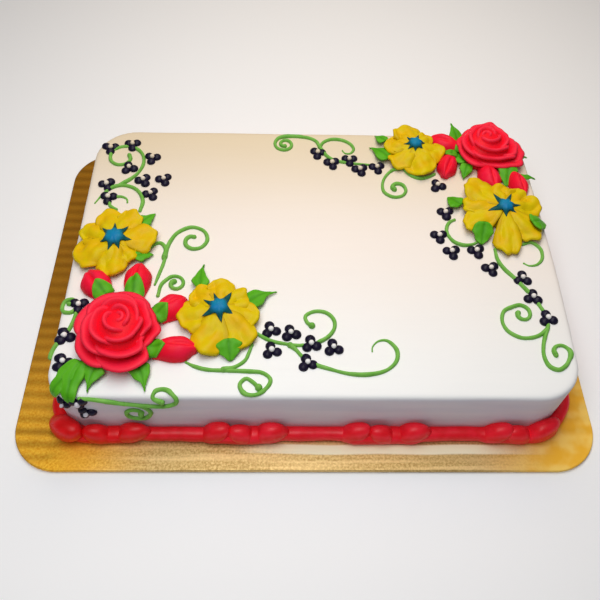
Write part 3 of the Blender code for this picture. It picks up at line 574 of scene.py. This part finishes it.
def slab(surface, grid, thick, paint):
    """A piped sheet round the middle surface(side, v), thick inside and round at its rim.

    The place across is side, from -1 to 1, and v goes from foot to rim. The grid is the
    faces across and along. The thickness is its first number times the second less the
    third by v. What paint(side, v) gives is the rim and fold values: a painted highlight
    and a painted shade.
    """
    across, along = grid
    most, foot, less = thick
    middle = [[surface(2 * i / across - 1, j / along) for i in range(across + 1)]
              for j in range(along + 1)]
    points, faces, painted, index = [], [], [], {}
    for way, j, i in product((1, -1), range(along + 1), range(across + 1)):
        on_rim = i in (0, across) or j in (0, along)
        if on_rim and way < 0:
            index[way, i, j] = index[1, i, j]
            continue
        du = middle[j][min(i + 1, across)] - middle[j][max(i - 1, 0)]
        dv = middle[min(j + 1, along)][i] - middle[max(j - 1, 0)][i]
        half = 0 if on_rim else most * (foot - less * (j / along)) / 2
        index[way, i, j] = len(points)
        points.append(middle[j][i] + du.cross(dv).normalized() * (way * half))
        painted.append(paint(2 * i / across - 1, j / along))
    for way, j, i in product((1, -1), range(along), range(across)):
        quad = [index[way, i, j], index[way, i + 1, j], index[way, i + 1, j + 1],
                index[way, i, j + 1]]
        faces.append(tuple(quad[::way]))
    return points, faces, painted


def bow(x, y):
    """How far the bulge of the right side moves that point of the icing to the right."""
    out = max(0, (x - CAKE_AT[0]) / (CAKE_X / 2)) ** 2
    return SIDE_BOW * out * cos(pi * min(0.5, abs(y - CAKE_AT[1]) / CAKE_Y))


def wrapped(x, y, lift=0):
    """Point of the flat pattern laid over the top, the round edge and down the side."""
    px, py = x - CAKE_AT[0], y - CAKE_AT[1]
    radius = CORNERS[py >= 0][px >= 0] - CAKE_EDGE
    qx = abs(px) - (CAKE_X / 2 - CAKE_EDGE - radius)
    qy = abs(py) - (CAKE_Y / 2 - CAKE_EDGE - radius)
    if qx > 0 and qy > 0:
        reach = hypot(qx, qy)
        out_x, out_y = qx / reach, qy / reach
    else:
        reach = max(qx, qy)
        out_x, out_y = float(qx > qy), float(qx <= qy)
    past = reach - radius
    if past <= 0:
        return Vector((x + bow(x, y), y, CAKE_TOP + lift))
    out_x, out_y = copysign(out_x, px), copysign(out_y, py)
    roll = min(past / CAKE_EDGE, pi / 2)
    down = max(0, past - CAKE_EDGE * pi / 2)
    sine, cosine = sin(roll), cos(roll)
    side = CAKE_EDGE * sine ** EDGE_SQUARE + lift * sine - past
    rise = CAKE_EDGE * cosine ** EDGE_SQUARE + lift * cosine - CAKE_EDGE - down
    x, y = x + out_x * side, y + out_y * side
    return Vector((x + bow(x, y), y, CAKE_TOP + rise))


def on_icing(x, y, lift=0):
    """The same, for a place measured on the bulged cake."""
    return wrapped(x - bow(x, y), y, lift)


def outline_at(past, steps, spacing):
    """Points anticlockwise round the flat pattern, past its flat top by that much."""
    arcs = []
    for sx, sy, start in ((1, -1, -90), (1, 1, 0), (-1, 1, 90), (-1, -1, 180)):
        corner = CORNERS[sy > 0][sx > 0]
        mid_x = CAKE_AT[0] + sx * (CAKE_X / 2 - corner)
        mid_y = CAKE_AT[1] + sy * (CAKE_Y / 2 - corner)
        arcs.append([swung(mid_x, mid_y, corner - CAKE_EDGE + past,
                           radians(start + 90 * k / steps)) for k in range(steps + 1)])
    points = []
    for n, arc in enumerate(arcs):
        (x, y), (next_x, next_y) = arc[-1], arcs[(n + 1) % 4][0]
        parts = round((CAKE_X if n % 2 else CAKE_Y) / spacing)
        points += arc[:-1] + [(x + (next_x - x) * i / parts, y + (next_y - y) * i / parts)
                              for i in range(parts)]
    return points


def uneven(x, y):
    """Hand smoothing: broad lumps, and long shallow strokes of the palette knife."""
    return (0.3 * wave(x / 45, y / 38) + 0.12 * wave(x / 60, y / 7, 5)
            + 0.05 * wave(x / 30, y / 2.6, 9) - 0.12)


def make_icing(material):
    """Rings up the side, over the round edge, and inwards to the middle of the top."""
    side_rings, edge_rings, top_rings, sunk = 18, 8, 40, 0.2
    side = CAKE_TOP - CAKE_EDGE - BOARD_Z + sunk
    turn = CAKE_EDGE * pi / 2
    pasts = [turn + side * (1 - k / side_rings) for k in range(side_rings)]
    pasts += [turn * (1 - k / edge_rings) for k in range(edge_rings + 1)] + [-2, -4]
    rings = [outline_at(past, 10, 4) for past in pasts]
    mid_x, mid_y = CAKE_AT
    last = rings[-1]
    for k in range(1, top_rings):
        share = 1 - k / top_rings
        rings.append([(mid_x + (x - mid_x) * share, mid_y + (y - mid_y) * share)
                      for x, y in last])
    skin = loft([[wrapped(x, y, uneven(x, y)) for x, y in ring] for ring in rings])
    make_piece("smooth_icing", material, "cake", [skin])


def board_half(y):
    """Half the width of the board's flat top at that y."""
    past = abs(y) - (BOARD_Y / 2 - BOARD_CORNER)
    if past <= 0:
        return BOARD_X / 2 - BOARD_EDGE
    reach = BOARD_CORNER - BOARD_EDGE
    return BOARD_X / 2 - BOARD_CORNER + sqrt(max(0, reach * reach - past * past))


def foil_ridge(x, y):
    """The foil's washboard ridges, 0 on a crest and 1 in a hollow."""
    left = smooth((-150 - x) / 20)
    fade = (1 - smooth((-113 - 13 * left - y) / 14)) * (1 - 0.6 * smooth(x, 150, 20))
    phase = 2 * pi * (y + 0.9 * wave(x / 50, y / 30)) / RIDGE_PITCH
    return fade * (0.5 - 0.5 * cos(phase)) * (0.8 + 0.4 * wave(x / 40, y / 12, 3))


def make_board(material):
    """The foil's ridged top as a grid, then its rim down to the flat underside."""
    rows, columns, end_rows = 300, 60, 17
    rim = ((0.25, BOARD_Z - 0.3), (0, BOARD_Z - 0.9), (0, 0.8), (0.8, 0))
    inner_y = BOARD_Y / 2 - BOARD_EDGE
    low = -inner_y * cos(pi * end_rows / rows)
    points, faces = [], []
    for j in range(rows + 1):
        if end_rows < j < rows - end_rows:
            y = low - 2 * low * (j - end_rows) / (rows - 2 * end_rows)
        else:
            y = -inner_y * cos(pi * j / rows)
        half = board_half(y)
        for i in range(columns + 1):
            x = half * sin(pi / 2 * (2 * i / columns - 1))
            dip = RIDGE_DEPTH * foil_ridge(x, y) + 0.1 * (1 + wave(x / 11, y / 9, 7))
            points.append(Vector((x, y, BOARD_Z - dip)))
    wide = columns + 1
    for j, i in product(range(rows), range(columns)):
        a = j * wide + i
        faces.append((a, a + 1, a + wide + 1, a + wide))
    ring = list(range(wide)) + [j * wide + columns for j in range(1, rows + 1)]
    ring += [rows * wide + i for i in range(columns - 1, -1, -1)]
    ring += [j * wide for j in range(rows - 1, 0, -1)]
    core = Vector((BOARD_X / 2 - BOARD_CORNER, BOARD_Y / 2 - BOARD_CORNER))
    ways = []
    for p in (points[i].xy for i in ring):
        near = Vector([max(-c, min(c, at)) for c, at in zip(core, p)])
        ways.append((near, (p - near).normalized()))
    for inset, z in rim:
        fresh = range(len(points), len(points) + len(ring))
        points += [Vector((*(near + way * (BOARD_CORNER - inset)), z)) for near, way in ways]
        faces += [(ring[k], fresh[k], fresh[k + 1], ring[k + 1]) for k in range(-len(ring), 0)]
        ring = fresh
    faces.append(tuple(reversed(ring)))
    # The fold value is the ridges' hollow, which the foil look paints in shade
    part = points, faces, [(0, foil_ridge(p.x, p.y)) for p in points]
    make_piece("foil_board", material, "board", [part])


class FootLine:
    """The line round the cake's foot, measured from its start."""

    def __init__(self):
        self.points = [Vector((x + bow(x, y), y)) for x, y in outline_at(CAKE_EDGE, 24, 3)]
        self.runs = [0]
        for k, p in enumerate(self.points):
            self.runs.append(self.runs[-1] + (self.points[(k + 1) % len(self.points)] - p).length)
        self.length = self.runs[-1]

    def at(self, run):
        """The point at that run, and the way out of the cake there."""
        run %= self.length
        k = bisect_right(self.runs, run) - 1
        count = len(self.points)
        a, b = self.points[k % count], self.points[(k + 1) % count]
        ahead = self.points[(k + 2) % count] - self.points[(k - 1) % count]
        share = (run - self.runs[k]) / (self.runs[k + 1] - self.runs[k])
        return a.lerp(b, share), Vector((ahead.y, -ahead.x)).normalized()

    def nearest(self, x, y):
        k = min(range(len(self.points)), key=lambda i: (self.points[i] - Vector((x, y))).length)
        return self.runs[k]


def border_ring(line, run, wide, high, swell, sides, out_by=0, lean=0):
    """A rounded section at the cake's foot, grown from its middle by swell."""
    def grown(size, way):
        return size * (0.45 + 0.55 * swell * copysign(abs(way) ** 0.9, way))

    ring = []
    for i in range(sides):
        a = 2 * pi * i / sides
        foot, out = line.at(run + lean * sin(a) * swell)
        spot = foot + out * (grown(wide, cos(a)) + out_by)
        up = grown(high, sin(a)) - 0.5 * out_by
        ring.append((spot.x, spot.y, max(BOARD_Z - 0.4, BOARD_Z + up)))
    return ring


def border_lobe(line, middle, lobe, seed):
    """One squeezed lobe: full along its length, leaning, and drawn out into the rope."""
    size, out_by, lean, before, after = lobe
    size *= 1 + 0.1 * wave(seed, 2.7)
    lean *= 1 + 0.5 * wave(seed, 6.1)
    parts, sides = 26, 24
    rings = []
    for n in range(parts + 1):
        t = -cos(pi * n / parts)
        stretch = before if t < 0 else after
        full = max(0, 1 - abs(t) ** SHELL_FULL) ** 0.5
        drawn = full * (1 - 0.42 * smooth(abs(t) * (stretch - 1)))
        risen = min(1, drawn * 1.2)
        wide = ROPE_WIDTH + (SHELL_WIDTH - ROPE_WIDTH) * risen
        high = ROPE_HEIGHT + (SHELL_HEIGHT - ROPE_HEIGHT) * risen
        rings.append(border_ring(line, middle + SHELL_HALF * t * stretch, wide, high,
                                 max(0.03, drawn * size), sides, out_by, lean))
    return loft(rings)


def make_border(material):
    """A rope of icing round the foot, with lobes squeezed over it in groups of three."""
    line = FootLine()
    half_x, half_y = CAKE_X / 2, CAKE_Y / 2
    groups = [(line.nearest(x, CAKE_AT[1] + y), pitch)
              for x, pitch in FRONT_GROUPS for y in (-half_y, half_y)]
    groups += [(line.nearest(CAKE_AT[0] + x, y), pitch)
               for y, pitch in SIDE_GROUPS for x in (-half_x, half_x)]
    spacing, sides = 1.6, 20
    count = round(line.length / spacing)
    rope = []
    for n in range(count):
        run = line.length * n / count
        pulse = 1 + 0.09 * wave(run / 16, 0.5) + 0.03 * wave(run / 5, 2.5)
        away = min(min(abs(run - at), line.length - abs(run - at)) for at, _ in groups)
        swollen = ROPE_SWELL * smooth((SWELL_REACH - away) / 8)
        rope.append(border_ring(line, run, ROPE_WIDTH * pulse + swollen,
                                ROPE_HEIGHT * pulse + 0.4 * swollen, 1, sides,
                                0.6 * wave(run / 21, 4.5)))
    parts = [loft(rope, closed=True)]
    for g, (middle, pitch) in enumerate(groups):
        for k, lobe in enumerate(SHELL_LOBES):
            if g == k == 0:
                lobe = CORNER_LOBE + lobe[2:]
            at = middle + pitch * (k - 1.05) + 1.2 * wave(g * 2.3, k * 1.1, 4)
            parts.append(border_lobe(line, at, lobe, g * 1.9 + k * 2.7))
    make_piece("shell_border", material, "border", parts)


def catmull(points, step):
    """Smooth path through the points, with a point about every step."""
    pts = [Vector(p) for p in points]
    pts = [2 * pts[0] - pts[1]] + pts + [2 * pts[-1] - pts[-2]]
    fine, parts = [], 24
    for k in range(1, len(pts) - 2):
        a, b, c, d = pts[k - 1:k + 3]
        for i in range(parts):
            t = i / parts
            fine.append(0.5 * (2 * b + (c - a) * t + (2 * a - 5 * b + 4 * c - d) * t * t
                               + (3 * b - a - 3 * c + d) * t ** 3))
    fine.append(pts[-2])
    path, run = [fine[0]], 0
    for before, p in zip(fine, fine[1:]):
        run += (p - before).length
        if run >= step:
            path.append(p)
            run = 0
    path[-1] = fine[-1]
    return path


def curl_points(start, curl):
    """Points of a spiral that closes in on the curl's centre, one every 45 degrees."""
    x, y, turn, last = curl
    arm = Vector(start) - Vector((x, y))
    first, angle = arm.length, atan2(arm.y, arm.x)
    count = max(3, round(abs(turn) / 45))
    return [swung(x, y, first + (last - first) * share, angle + radians(turn) * share)
            for share in (k / count for k in range(1, count + 1))]


def vine_end(at, size):
    """The small blob of icing where the nozzle started or left a piped line."""
    return loft([ring_on_icing(at.x, at.y, VINE_HALF * 1.06 * size * share, up * size)
                 for share, up in VINE_END])


def make_vines(material):
    """Half round lines of icing, tapered at their ends and thin where a berry lies."""
    parts = []
    for n, (passed, curl, first, last) in enumerate(VINES):
        points = list(zip(passed[::2], passed[1::2]))
        if curl:
            points += curl_points(points[-1], curl)
        path = catmull(points, VINE_STEP)
        rings = []
        for k, p in enumerate(path):
            ahead = path[min(k + 1, len(path) - 1)] - path[max(k - 1, 0)]
            side = Vector((-ahead.y, ahead.x)).normalized()
            size = first + (1 - first) * smooth(k / 6)
            size *= last + (1 - last) * smooth((len(path) - 1 - k) / (9 + 14 * (1 - last)))
            size *= 1 + 0.26 * wave(k / 11, n * 7.3) + 0.06 * wave(k / 2.5, n)
            berry = min(hypot(p.x - x, p.y - y) for x, y, _ in BERRIES)
            size *= 0.12 + 0.88 * smooth(berry, 2.6, 2)
            ring = []
            for i in range(VINE_SIDES + 1):
                a = pi * i / VINE_SIDES
                lift = (VINE_HEIGHT * size + VINE_SUNK) * sin(a) ** 0.8 - VINE_SUNK
                ring.append(on_icing(*(p - side * (VINE_HALF * size * cos(a))), lift))
            rings.append(ring)
        parts += [loft(rings), vine_end(path[0], first), vine_end(path[-1], last)]
    make_piece("piped_vines", material, "cake", parts)


def ring_on_icing(x, y, radius, lift):
    return [on_icing(*point, lift) for point in round_points(x, y, radius, DOT_SIDES)]


def make_berries(material):
    """Three round dots to a berry, each a little uneven and leaning its own way."""
    parts = []
    for n, (x, y, facing) in enumerate(BERRIES):
        for k in range(3):
            size = 1 + 0.09 * wave(n * 3.1, k * 5.7)
            spread = DOT_SPREAD * (1 + 0.05 * wave(n * 1.7, k * 2.9, 4))
            mid_x, mid_y = swung(x, y, spread, radians(facing + 120 * k))
            lean_x, lean_y = 0.5 * wave(n, k, 2.2), 0.5 * wave(n, k, 6.2)
            rings = [ring_on_icing(mid_x + lean_x * up, mid_y + lean_y * up,
                                   share * DOT_RADIUS * size, up * DOT_HEIGHT * size)
                     for share, up in DOT_PROFILE]
            top = on_icing(mid_x + lean_x, mid_y + lean_y, DOT_HEIGHT * size * 1.06)
            parts.append(loft_to_point(rings, top))
    make_piece("berry_dots", material, "cake", parts)


def make_white_dots(material):
    """The small white dot set where the three dots of a berry meet."""
    parts = []
    for n, (x, y, _) in enumerate(BERRIES):
        size = 1 + 0.12 * wave(n * 2.3, 1.4)
        x, y = x + 0.4 * wave(n * 1.3, 7.7), y + 0.3 + 0.4 * wave(n * 1.3, 9.1)
        parts.append(loft([ring_on_icing(x, y, share * WHITE_RADIUS * size,
                                         WHITE_FOOT + (WHITE_TOP - WHITE_FOOT) * up)
                           for share, up in WHITE_PROFILE]))
    make_piece("berry_white_dots", material, "cake", parts)


def outline_share(outline, angle):
    """How far a rose reaches in that direction, read from its outline."""
    turn = degrees(angle) % 360
    for (at, share), (after, next_share) in zip(outline, outline[1:] + ((360, outline[0][1]),)):
        if at <= turn < after:
            return share + (next_share - share) * smooth((turn - at) / (after - at))
    return outline[0][1]


def rose_petal(place, ring, n, k):
    """Petal k of ring n: the outer rings open, curl over and follow the rose's outline."""
    x, y, wide, high, facing, (heart_x, heart_y), outline = place
    count, stand, lean, reach, arc = ring
    half = wide / 2
    turned = facing + ROSE_RING_TURN * n + 360 * k / count
    seed = n * 4.7 + k * 2.3 + x
    opened = smooth(n, 0.6, 3)
    inward = 1 - n / (len(ROSE_RINGS) - 1)
    x, y = x + heart_x * inward, y + heart_y * inward

    def surface(side, v):
        a = radians(turned + side * arc / 2)
        arched = sqrt(max(0, 1 - abs(side) ** (4.5 - 1.5 * opened)))
        up = v * arched * (1 + 0.05 * wave(side * 1.8, seed))
        r = half * (stand + lean * up ** 1.4) + ROSE_TWIST * side * (0.5 + 0.5 * v)
        r += opened * (1.1 * smooth(up, 0.7, 0.3) + 1.2 * up * wave(side * 1.3, seed, 8))
        share = outline_share(outline, a)
        r *= 1 + opened * (share - 1)
        z = high * reach * up ** (1 - 0.25 * opened) * (1 + opened * (min(1, share) - 1))
        z -= 0.9 * opened * smooth(up, 0.78, 0.22)
        return Vector((*swung(x, y, r, a), CAKE_TOP + 0.4 + z))

    def paint(side, v):
        # Painted highlight along the top rim, and painted shade deep down towards the petal's foot
        edge = smooth(v, 0.66, 0.34)
        return 0.8 * edge, 0.75 * (1 - smooth(v / 0.8))

    return slab(surface, ROSE_GRID, ROSE_THICK, paint)


def make_rose(name, place, material):
    x, y, wide, high, _, (heart_x, heart_y), outline = place
    core = []
    for share, up in ROSE_CORE:
        inward = smooth(up)
        section = []
        for i in range(ROSE_SIDES):
            a = 2 * pi * i / ROSE_SIDES
            r = share * wide / 2 * (1 + (1 - inward) * (min(1, outline_share(outline, a)) - 1))
            section.append((*swung(x + heart_x * inward, y + heart_y * inward, r, a),
                            CAKE_TOP - ROSE_SUNK + high * up))
        core.append(section)
    petals = [rose_petal(place, ring, n, k)
              for n, ring in enumerate(ROSE_RINGS) for k in range(ring[0])]
    make_piece(name + "_petals", material, name, [deep(*loft(core)), *petals])


def flower_petal(x, y, angle, length, half_turn, seed):
    """One ruffled petal: it falls from the crown, and one side laps over the next."""
    def surface(side, v):
        a = radians(angle + half_turn * side * (1.45 - 0.3 * v))
        share = 0.1 + 0.9 * v
        blunt = 1 - 0.3 * abs(side) ** 2.2 + 0.09 * wave(side * 2.8, seed)
        r = length * share * (1 + (blunt - 1) * v ** 1.5)
        rim = RIM_FRONT + (RIM_BACK - RIM_FRONT) * (1 + sin(a)) / 2
        fall = (FLOWER_CROWN - rim) * share ** 1.7
        arch = 1.6 * side * side * smooth(v * 1.6) - 0.9 * side * v
        sway = 0.5 * wave(v * 2, seed, 3)
        flutes = (0.65 + 0.5 * wave(seed, 5)) * cos(2.4 * pi * (side + sway) + seed)
        flutes *= smooth(v, 0.12, 0.55)
        lumps = 2 * wave(side * 1.4, v * 2.9, seed) + 0.45 * wave(side * 4.2, v * 6.5, seed)
        lumps *= smooth(v * 2)
        turned_up = 0.8 * smooth(v, 0.74, 0.26)
        rise = FLOWER_CROWN - 1.2 - fall - arch + flutes + lumps + turned_up
        return Vector((*swung(x, y, r, a), CAKE_TOP + rise))

    def paint(side, v):
        # Painted highlight on the rim and the outer sides, and painted shade in the creases between
        # petals
        edge = max(smooth(v, 0.86, 0.14), 0.6 * smooth(abs(side), 0.84, 0.16) * v)
        crease = smooth(abs(side), 0.55, 0.4) * (1 - 0.4 * v)
        return 0.6 * edge, min(1, 0.9 * crease)

    return slab(surface, FLOWER_GRID, FLOWER_THICK, paint)


def make_flower(name, x, y, petals, material):
    mound = loft([[(*point, CAKE_TOP + up) for point in round_points(x, y, radius, MOUND_SIDES)]
                  for radius, up in MOUND])
    parts = [deep(*mound)]
    for k, (angle, length, half_turn) in enumerate(petals):
        parts.append(flower_petal(x, y, angle, length, half_turn, k * 3.9 + x))
    make_piece(name + "_petals", material, name, parts)


def make_star(name, x, y, hub, arms, material):
    """A piped star: a round hub, with thin arms drawn out along the petals."""
    steps, parts = 14, 12
    arms = sorted(arms)
    rings, shades = ([[] for _ in range(parts + 1)] for _ in range(2))
    for k, (arm, tip) in enumerate(arms):
        beyond, next_tip = arms[(k + 1) % len(arms)]
        beyond += 360 * (k + 1 == len(arms))
        for i in range(steps):
            share = i / steps
            a = radians(arm + (beyond - arm) * share)
            near = abs(1 - 2 * share)
            reach = hub + ((tip if share < 0.5 else next_tip) - hub) * near ** 2.2
            rings[0].append((*swung(x, y, reach * 0.7, a), CAKE_TOP + STAR_FOOT - 2))
            shades[0].append((0, 1))
            for ring, shade, level in zip(rings[1:], shades[1:], range(parts, 0, -1)):
                r = reach * level / parts
                dome = sqrt(max(0, 1 - (r / (hub * 1.25)) ** 2))
                z = STAR_FOOT + STAR_HEIGHT * dome + STAR_RISE * (1 - (level / parts) ** 3)
                z -= (0.005 - 0.004 * sin(a)) * r * r
                ring.append((*swung(x, y, r, a), CAKE_TOP + z))
                shade.append((0, smooth(r, hub * 0.66, hub * 0.6)))
    top = (x, y, CAKE_TOP + STAR_FOOT + STAR_HEIGHT + STAR_RISE)
    part = *loft_to_point(rings, top), [*chain(*shades), (0, 0)]
    make_piece(name + "_peak", material, name, [part])


def stem(foot, tip):
    """A foot, the way from there to the tip, and the unit way to its left."""
    foot, ahead = Vector(foot), Vector(tip) - Vector(foot)
    return foot, ahead, Vector((-ahead.y, ahead.x)).normalized()


def bud_half_width(t):
    """Half a bud's width at t of its length, as a share of its widest."""
    return (0.66 + 0.34 * smooth(t / 0.5)) * (1 - 0.62 * smooth(t, 0.62, 0.38) ** 1.7)


def bud_seam(t):
    """Where the groove between a bud's two petals lies across it, from -1 to 1."""
    return 0.1 - 0.25 * (t - 0.5)


def bud_crown(t, side):
    """Height share over a bud: one petal laps over the other along a groove."""
    off_seam = side - bud_seam(t)
    groove = 0.3 * smooth(t, 0.22, 0.4) * exp(-(off_seam / 0.16) ** 2)
    lap = 0.1 * smooth(off_seam / 0.12 + 0.5) * smooth(t, 0.15, 0.3)
    rise = 0.55 + 0.45 * smooth(t / 0.45) - 0.38 * smooth(t, 0.6, 0.4)
    return rise * (1 - groove - lap) * sqrt(max(0, 1 - side * side))


def bud_point(foot, tip, along, side, lift):
    foot, ahead, across = stem(foot, tip)
    return on_icing(*(foot + ahead * along + across * side), lift)


def make_bud(name, foot, tip, wide, material):
    """A closed bud of two petals, lying on the icing."""
    count, parts = 22, 26
    rings, shades = [], []
    for k in range(count + 1):
        t = k / count
        half = wide / 2 * bud_half_width(t)
        end = sqrt(1 - 0.9 * smooth(t, 0.86, 0.14) ** 2)
        ring, shade = [], []
        for i in range(parts + 1):
            side = -cos(pi * i / parts)
            lift = BUD_LIFT + BUD_HEIGHT * bud_crown(t, side) * end
            reach = t + 0.14 * (1 - side * side) * (t - 0.5)
            ring.append(bud_point(foot, tip, reach, half * side, lift))
            # Painted shade in the groove and down the sides, and a painted highlight at the tip and
            # along the lapping petal's edge
            off_seam = side - bud_seam(t)
            crease = exp(-(off_seam / 0.1) ** 2) * smooth(t, 0.2, 0.3)
            pale = 0.8 * max(smooth(t, 0.84, 0.16), smooth(1 - abs(off_seam + 0.22) / 0.12) * t)
            shade.append((pale, min(1, crease + 0.7 * smooth(abs(side), 0.8, 0.2))))
        left, right = (bud_point(foot, tip, t, way * half * UNDER_SHARE, UNDER_LIFT)
                       for way in (-1, 1))
        rings.append([left, *ring, right])
        # The edges tucked under the bud are painted all in shade
        shades += [(0, 1), *shade, (0, 1)]
    make_piece(name + "_petals", material, name, [(*loft(rings), shades)])


def make_calyx(name, foot, tip, wide, height, material):
    """The green cap over a bud's foot, drawn out to a point up its middle."""
    def surface(side, v):
        end = 0.1 + (height - 0.1) * (1 - abs(side)) ** 0.85
        t = -0.12 + (end + 0.12) * v
        half = wide / 2 * bud_half_width(max(0, t)) * (0.62 + 0.42 * smooth(v / 0.3))
        rise = BUD_LIFT + BUD_HEIGHT * bud_crown(max(0, t), side * 0.93) + 0.7
        return bud_point(foot, tip, t, half * side, rise + 0.3 * wave(side * 2, v * 3, wide))

    def paint(side, v):
        # Painted highlight towards the tip, and painted shade down the middle groove
        return 0.7 * smooth(v, 0.7, 0.3), 0.7 * exp(-(side / 0.16) ** 2)

    cap = slab(surface, CALYX_GRID, CALYX_THICK, paint)
    make_piece(name + "_leaflet", material, name, [cap])


def leaf_blade(foot, tip, wide, raised, drawn, bowed, stiff, tip_up):
    """A piped leaf: plump at its foot, grooved down the middle, wavy at its sides."""
    foot, ahead, across = stem(foot, tip)
    seed = foot.x * 0.31

    def surface(side, v):
        full = sin(pi / 2 * min(1, 0.12 + v / 0.3)) ** 0.8
        full *= 0.02 + 0.98 * (1 - smooth(v, 0.24, 0.76)) ** drawn
        ruffle = 1 + 0.07 * sin(17 * v + seed)
        arch = LEAF_ARCH * sin(pi * (0.18 + 0.82 * v)) * (1 - 0.38 * side * side)
        groove = 0.9 * exp(-(side / 0.2) ** 2) * smooth(v / 0.2) * (1 - v)
        waves = 0.45 * sin(15 * v + seed + side) * side * side
        aside = wide / 2 * full * ruffle * side + 4 * bowed * v * (1 - v)
        at = foot + ahead * v + across * aside
        lift = LEAF_LIFT + arch - groove + waves
        lift += raised * (1 - v) ** (2 - 1.2 * stiff) + tip_up * v
        return on_icing(at.x, at.y, lift).lerp(Vector((at.x, at.y, CAKE_TOP + lift)), stiff)

    def paint(side, v):
        # Painted highlight at the sides, and painted shade down the middle groove
        return 0.6 * smooth(abs(side), 0.6, 0.4), 0.6 * exp(-(side / 0.2) ** 2)

    return slab(surface, LEAF_GRID, LEAF_THICK, paint)


def make_camera():
    """The photograph's camera: above the front, a little left of the middle."""
    data = bpy.data.cameras.new("camera")
    data.sensor_width, data.lens = SENSOR, LENS
    right, up = Vector(CAMERA_RIGHT), Vector(CAMERA_UP)
    turn = Matrix((right, up, right.cross(up))).transposed()
    camera = placed("camera", data)
    camera.matrix_world = Matrix.Translation(Vector(CAMERA_AT) * MM) @ turn.to_4x4()
    bpy.context.scene.camera = camera


def make_floor():
    look = Look("pale floor", FLOOR_COLOUR, 0.5)
    look.feed(Base_Color=look.colour, Roughness=0.9)
    mesh = bpy.data.meshes.new("floor")
    corners = [(x * FLOOR_HALF, y * FLOOR_HALF, FLOOR_Z)
               for x, y in ((-1, -1), (1, -1), (1, 1), (-1, 1))]
    mesh.from_pydata(corners, [], [(0, 1, 2, 3)])
    mesh.materials.append(look.material)
    placed("floor", mesh)


def make_light():
    """A dim pale room, a soft lamp above the cake and a warm one behind it."""
    world = bpy.data.worlds.new("room")
    world.use_nodes = True
    back = world.node_tree.nodes["Background"]
    back.inputs["Color"].default_value = ROOM_COLOUR
    back.inputs["Strength"].default_value = ROOM_POWER
    bpy.context.scene.world = world
    bpy.context.scene.view_settings.view_transform = "Standard"
    for name, (at, aim, sides, power, colour) in LAMPS.items():
        data = bpy.data.lights.new(name, "AREA")
        data.shape = "RECTANGLE"
        data.size, data.size_y = sides
        data.energy, data.color = power, colour
        lamp = placed(name, data)
        lamp.location = at
        lamp.rotation_euler = (Vector(aim) - Vector(at)).to_track_quat("-Z", "Y").to_euler()
        lamp.visible_camera = False


def make_everything():
    white = icing_look()
    rose, yellow, green, blue = (petal_look(name, *colours)
                                 for name, colours in PETAL_COLOURS.items())
    make_board(foil_look())
    make_icing(white)
    make_border(gel_look())
    make_vines(vine_look())
    make_berries(berry_look())
    make_white_dots(white)
    for name, place in ROSES.items():
        make_rose(name, place, rose)
    for name, (x, y, petals, hub, arms) in FLOWERS.items():
        make_flower(name, x, y, petals, yellow)
        make_star(name + "_star", x, y, hub, arms, blue)
    for name, (foot, tip, wide, height) in BUDS.items():
        make_bud(name, foot, tip, wide, rose)
        if height:
            make_calyx(name + "_calyx", foot, tip, wide, height, green)
    for name, blades in LEAVES.items():
        parts = [leaf_blade(*blade, *STIFF.get(name, (0, 0))) for blade in blades]
        make_piece(name + "_blade", green, name, parts)


make_camera()
make_light()
make_floor()
make_everything()
